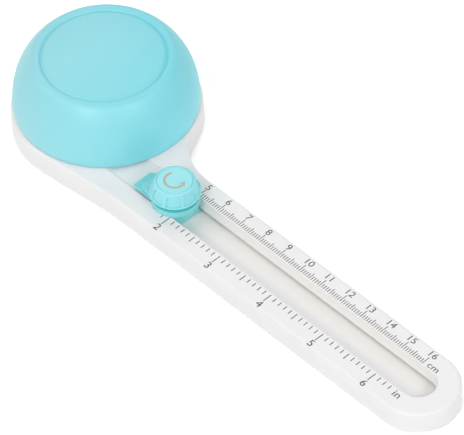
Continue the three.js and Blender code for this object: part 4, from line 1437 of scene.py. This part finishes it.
# Nodes that keep their own shape
nodeFinishes = {
    "foot_disc": "whitePlate",
    "arm_bottom_plate": "slotFloor",
    "lower_thrust_washer": "slidingPlastic",
    "upper_thrust_washer": "slidingPlastic",
    "hub_bushing": "slidingPlastic",
    "clamp_washer": "slidingPlastic",
    "blade_holder": "holderPlastic",
    "pivot_screw": "screwSteel",
    "pivot_screw_washer": "screwSteel",
    "blade_screw": "screwSteel",
    "blade": "bladeSteel",
}
for nodeName, finish in nodeFinishes.items():
    dress(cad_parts[nodeName], finish)
print("pieces dressed")


# Floor, world and lamps

stageSizes = {
    "floorSpan": 12000,
    "floorZ": -0.02,
    "floorColour": (250, 250, 250),
    "floorRoughness": 0.9,
    "floorShine": 0.1,
    "floorLift": 0.3,  # brings the lit floor to white for the camera
    "worldStrength": 0.45,
    "aim": (0.095, -0.012, 0),  # metres
    "distance": 1.6,
    "lamps": [
        # name, degrees round the aim, degrees up, width in metres, watts
        ("frontLeftSoftbox", -73, 41, 0.5, 6.8),
        ("frontRightSoftbox", -3, 41, 0.5, 5.6),
        ("leftSoftbox", -133, 45, 1, 3.7),
        ("rightSoftbox", 52, 45, 1, 1.9),
        ("backSoftbox", 139, 42, 1, 2.8),
    ],
}
white = (255, 255, 255)


def seenShare(tree):
    # 1 for what the camera sees itself, in a gloss or through a clear piece
    rays = addNode(tree, "ShaderNodeLightPath").outputs
    seen = mathNode(tree, "MAXIMUM", rays["Is Camera Ray"], rays["Is Glossy Ray"])
    return mathNode(tree, "MAXIMUM", seen, rays["Is Transmission Ray"])


def makeFloor():
    s = Sizes(**stageSizes)
    freeSelection()
    bpy.ops.mesh.primitive_plane_add(size=s.floorSpan * mm, location=inMetres(0, 0, s.floorZ))
    floor = namedPiece("floor")
    material, tree, shader = newMaterial("paperFloor")
    fill(tree, shader, {
        "Base Color": s.floorColour,
        "Roughness": s.floorRoughness,
        "Specular IOR Level": s.floorShine,
        "Emission Color": white,
        "Emission Strength": product(tree, seenShare(tree), s.floorLift),
    })
    floor.data.materials.append(material)


def makeWorld():
    # a soft white room, and plain white where it is seen
    world = bpy.data.worlds.new("softRoom")
    bpy.context.scene.world = world
    world.use_nodes = True
    tree = world.node_tree
    room = fill(tree, tree.nodes["Background"], {"Color": white, "Strength": stageSizes["worldStrength"]})
    seenRoom = addNode(tree, "ShaderNodeBackground", {"Color": white, "Strength": 1})
    sides = {0: seenShare(tree), 1: room.outputs[0], 2: seenRoom.outputs[0]}
    mix = addNode(tree, "ShaderNodeMixShader", sides)
    fill(tree, tree.nodes["World Output"], {"Surface": mix.outputs[0]})


def makeLamps():
    s = Sizes(**stageSizes)
    for name, around, up, width, watts in s.lamps:
        turn, rise = math.radians(around), math.radians(up)
        away = (math.cos(rise) * math.cos(turn), math.cos(rise) * math.sin(turn), math.sin(rise))
        place = [a + s.distance * b for a, b in zip(s.aim, away)]
        tilt = (math.pi / 2 - rise, 0, turn + math.pi / 2)
        freeSelection()
        bpy.ops.object.light_add(type="AREA", location=place, rotation=tilt)
        lamp = namedPiece(name).data
        lamp.shape = "DISK"
        lamp.size = width
        lamp.energy = watts


makeFloor()
makeWorld()
makeLamps()
bpy.context.scene.view_settings.view_transform = "Standard"
print("stage lit")

bpy.context.view_layer.update()
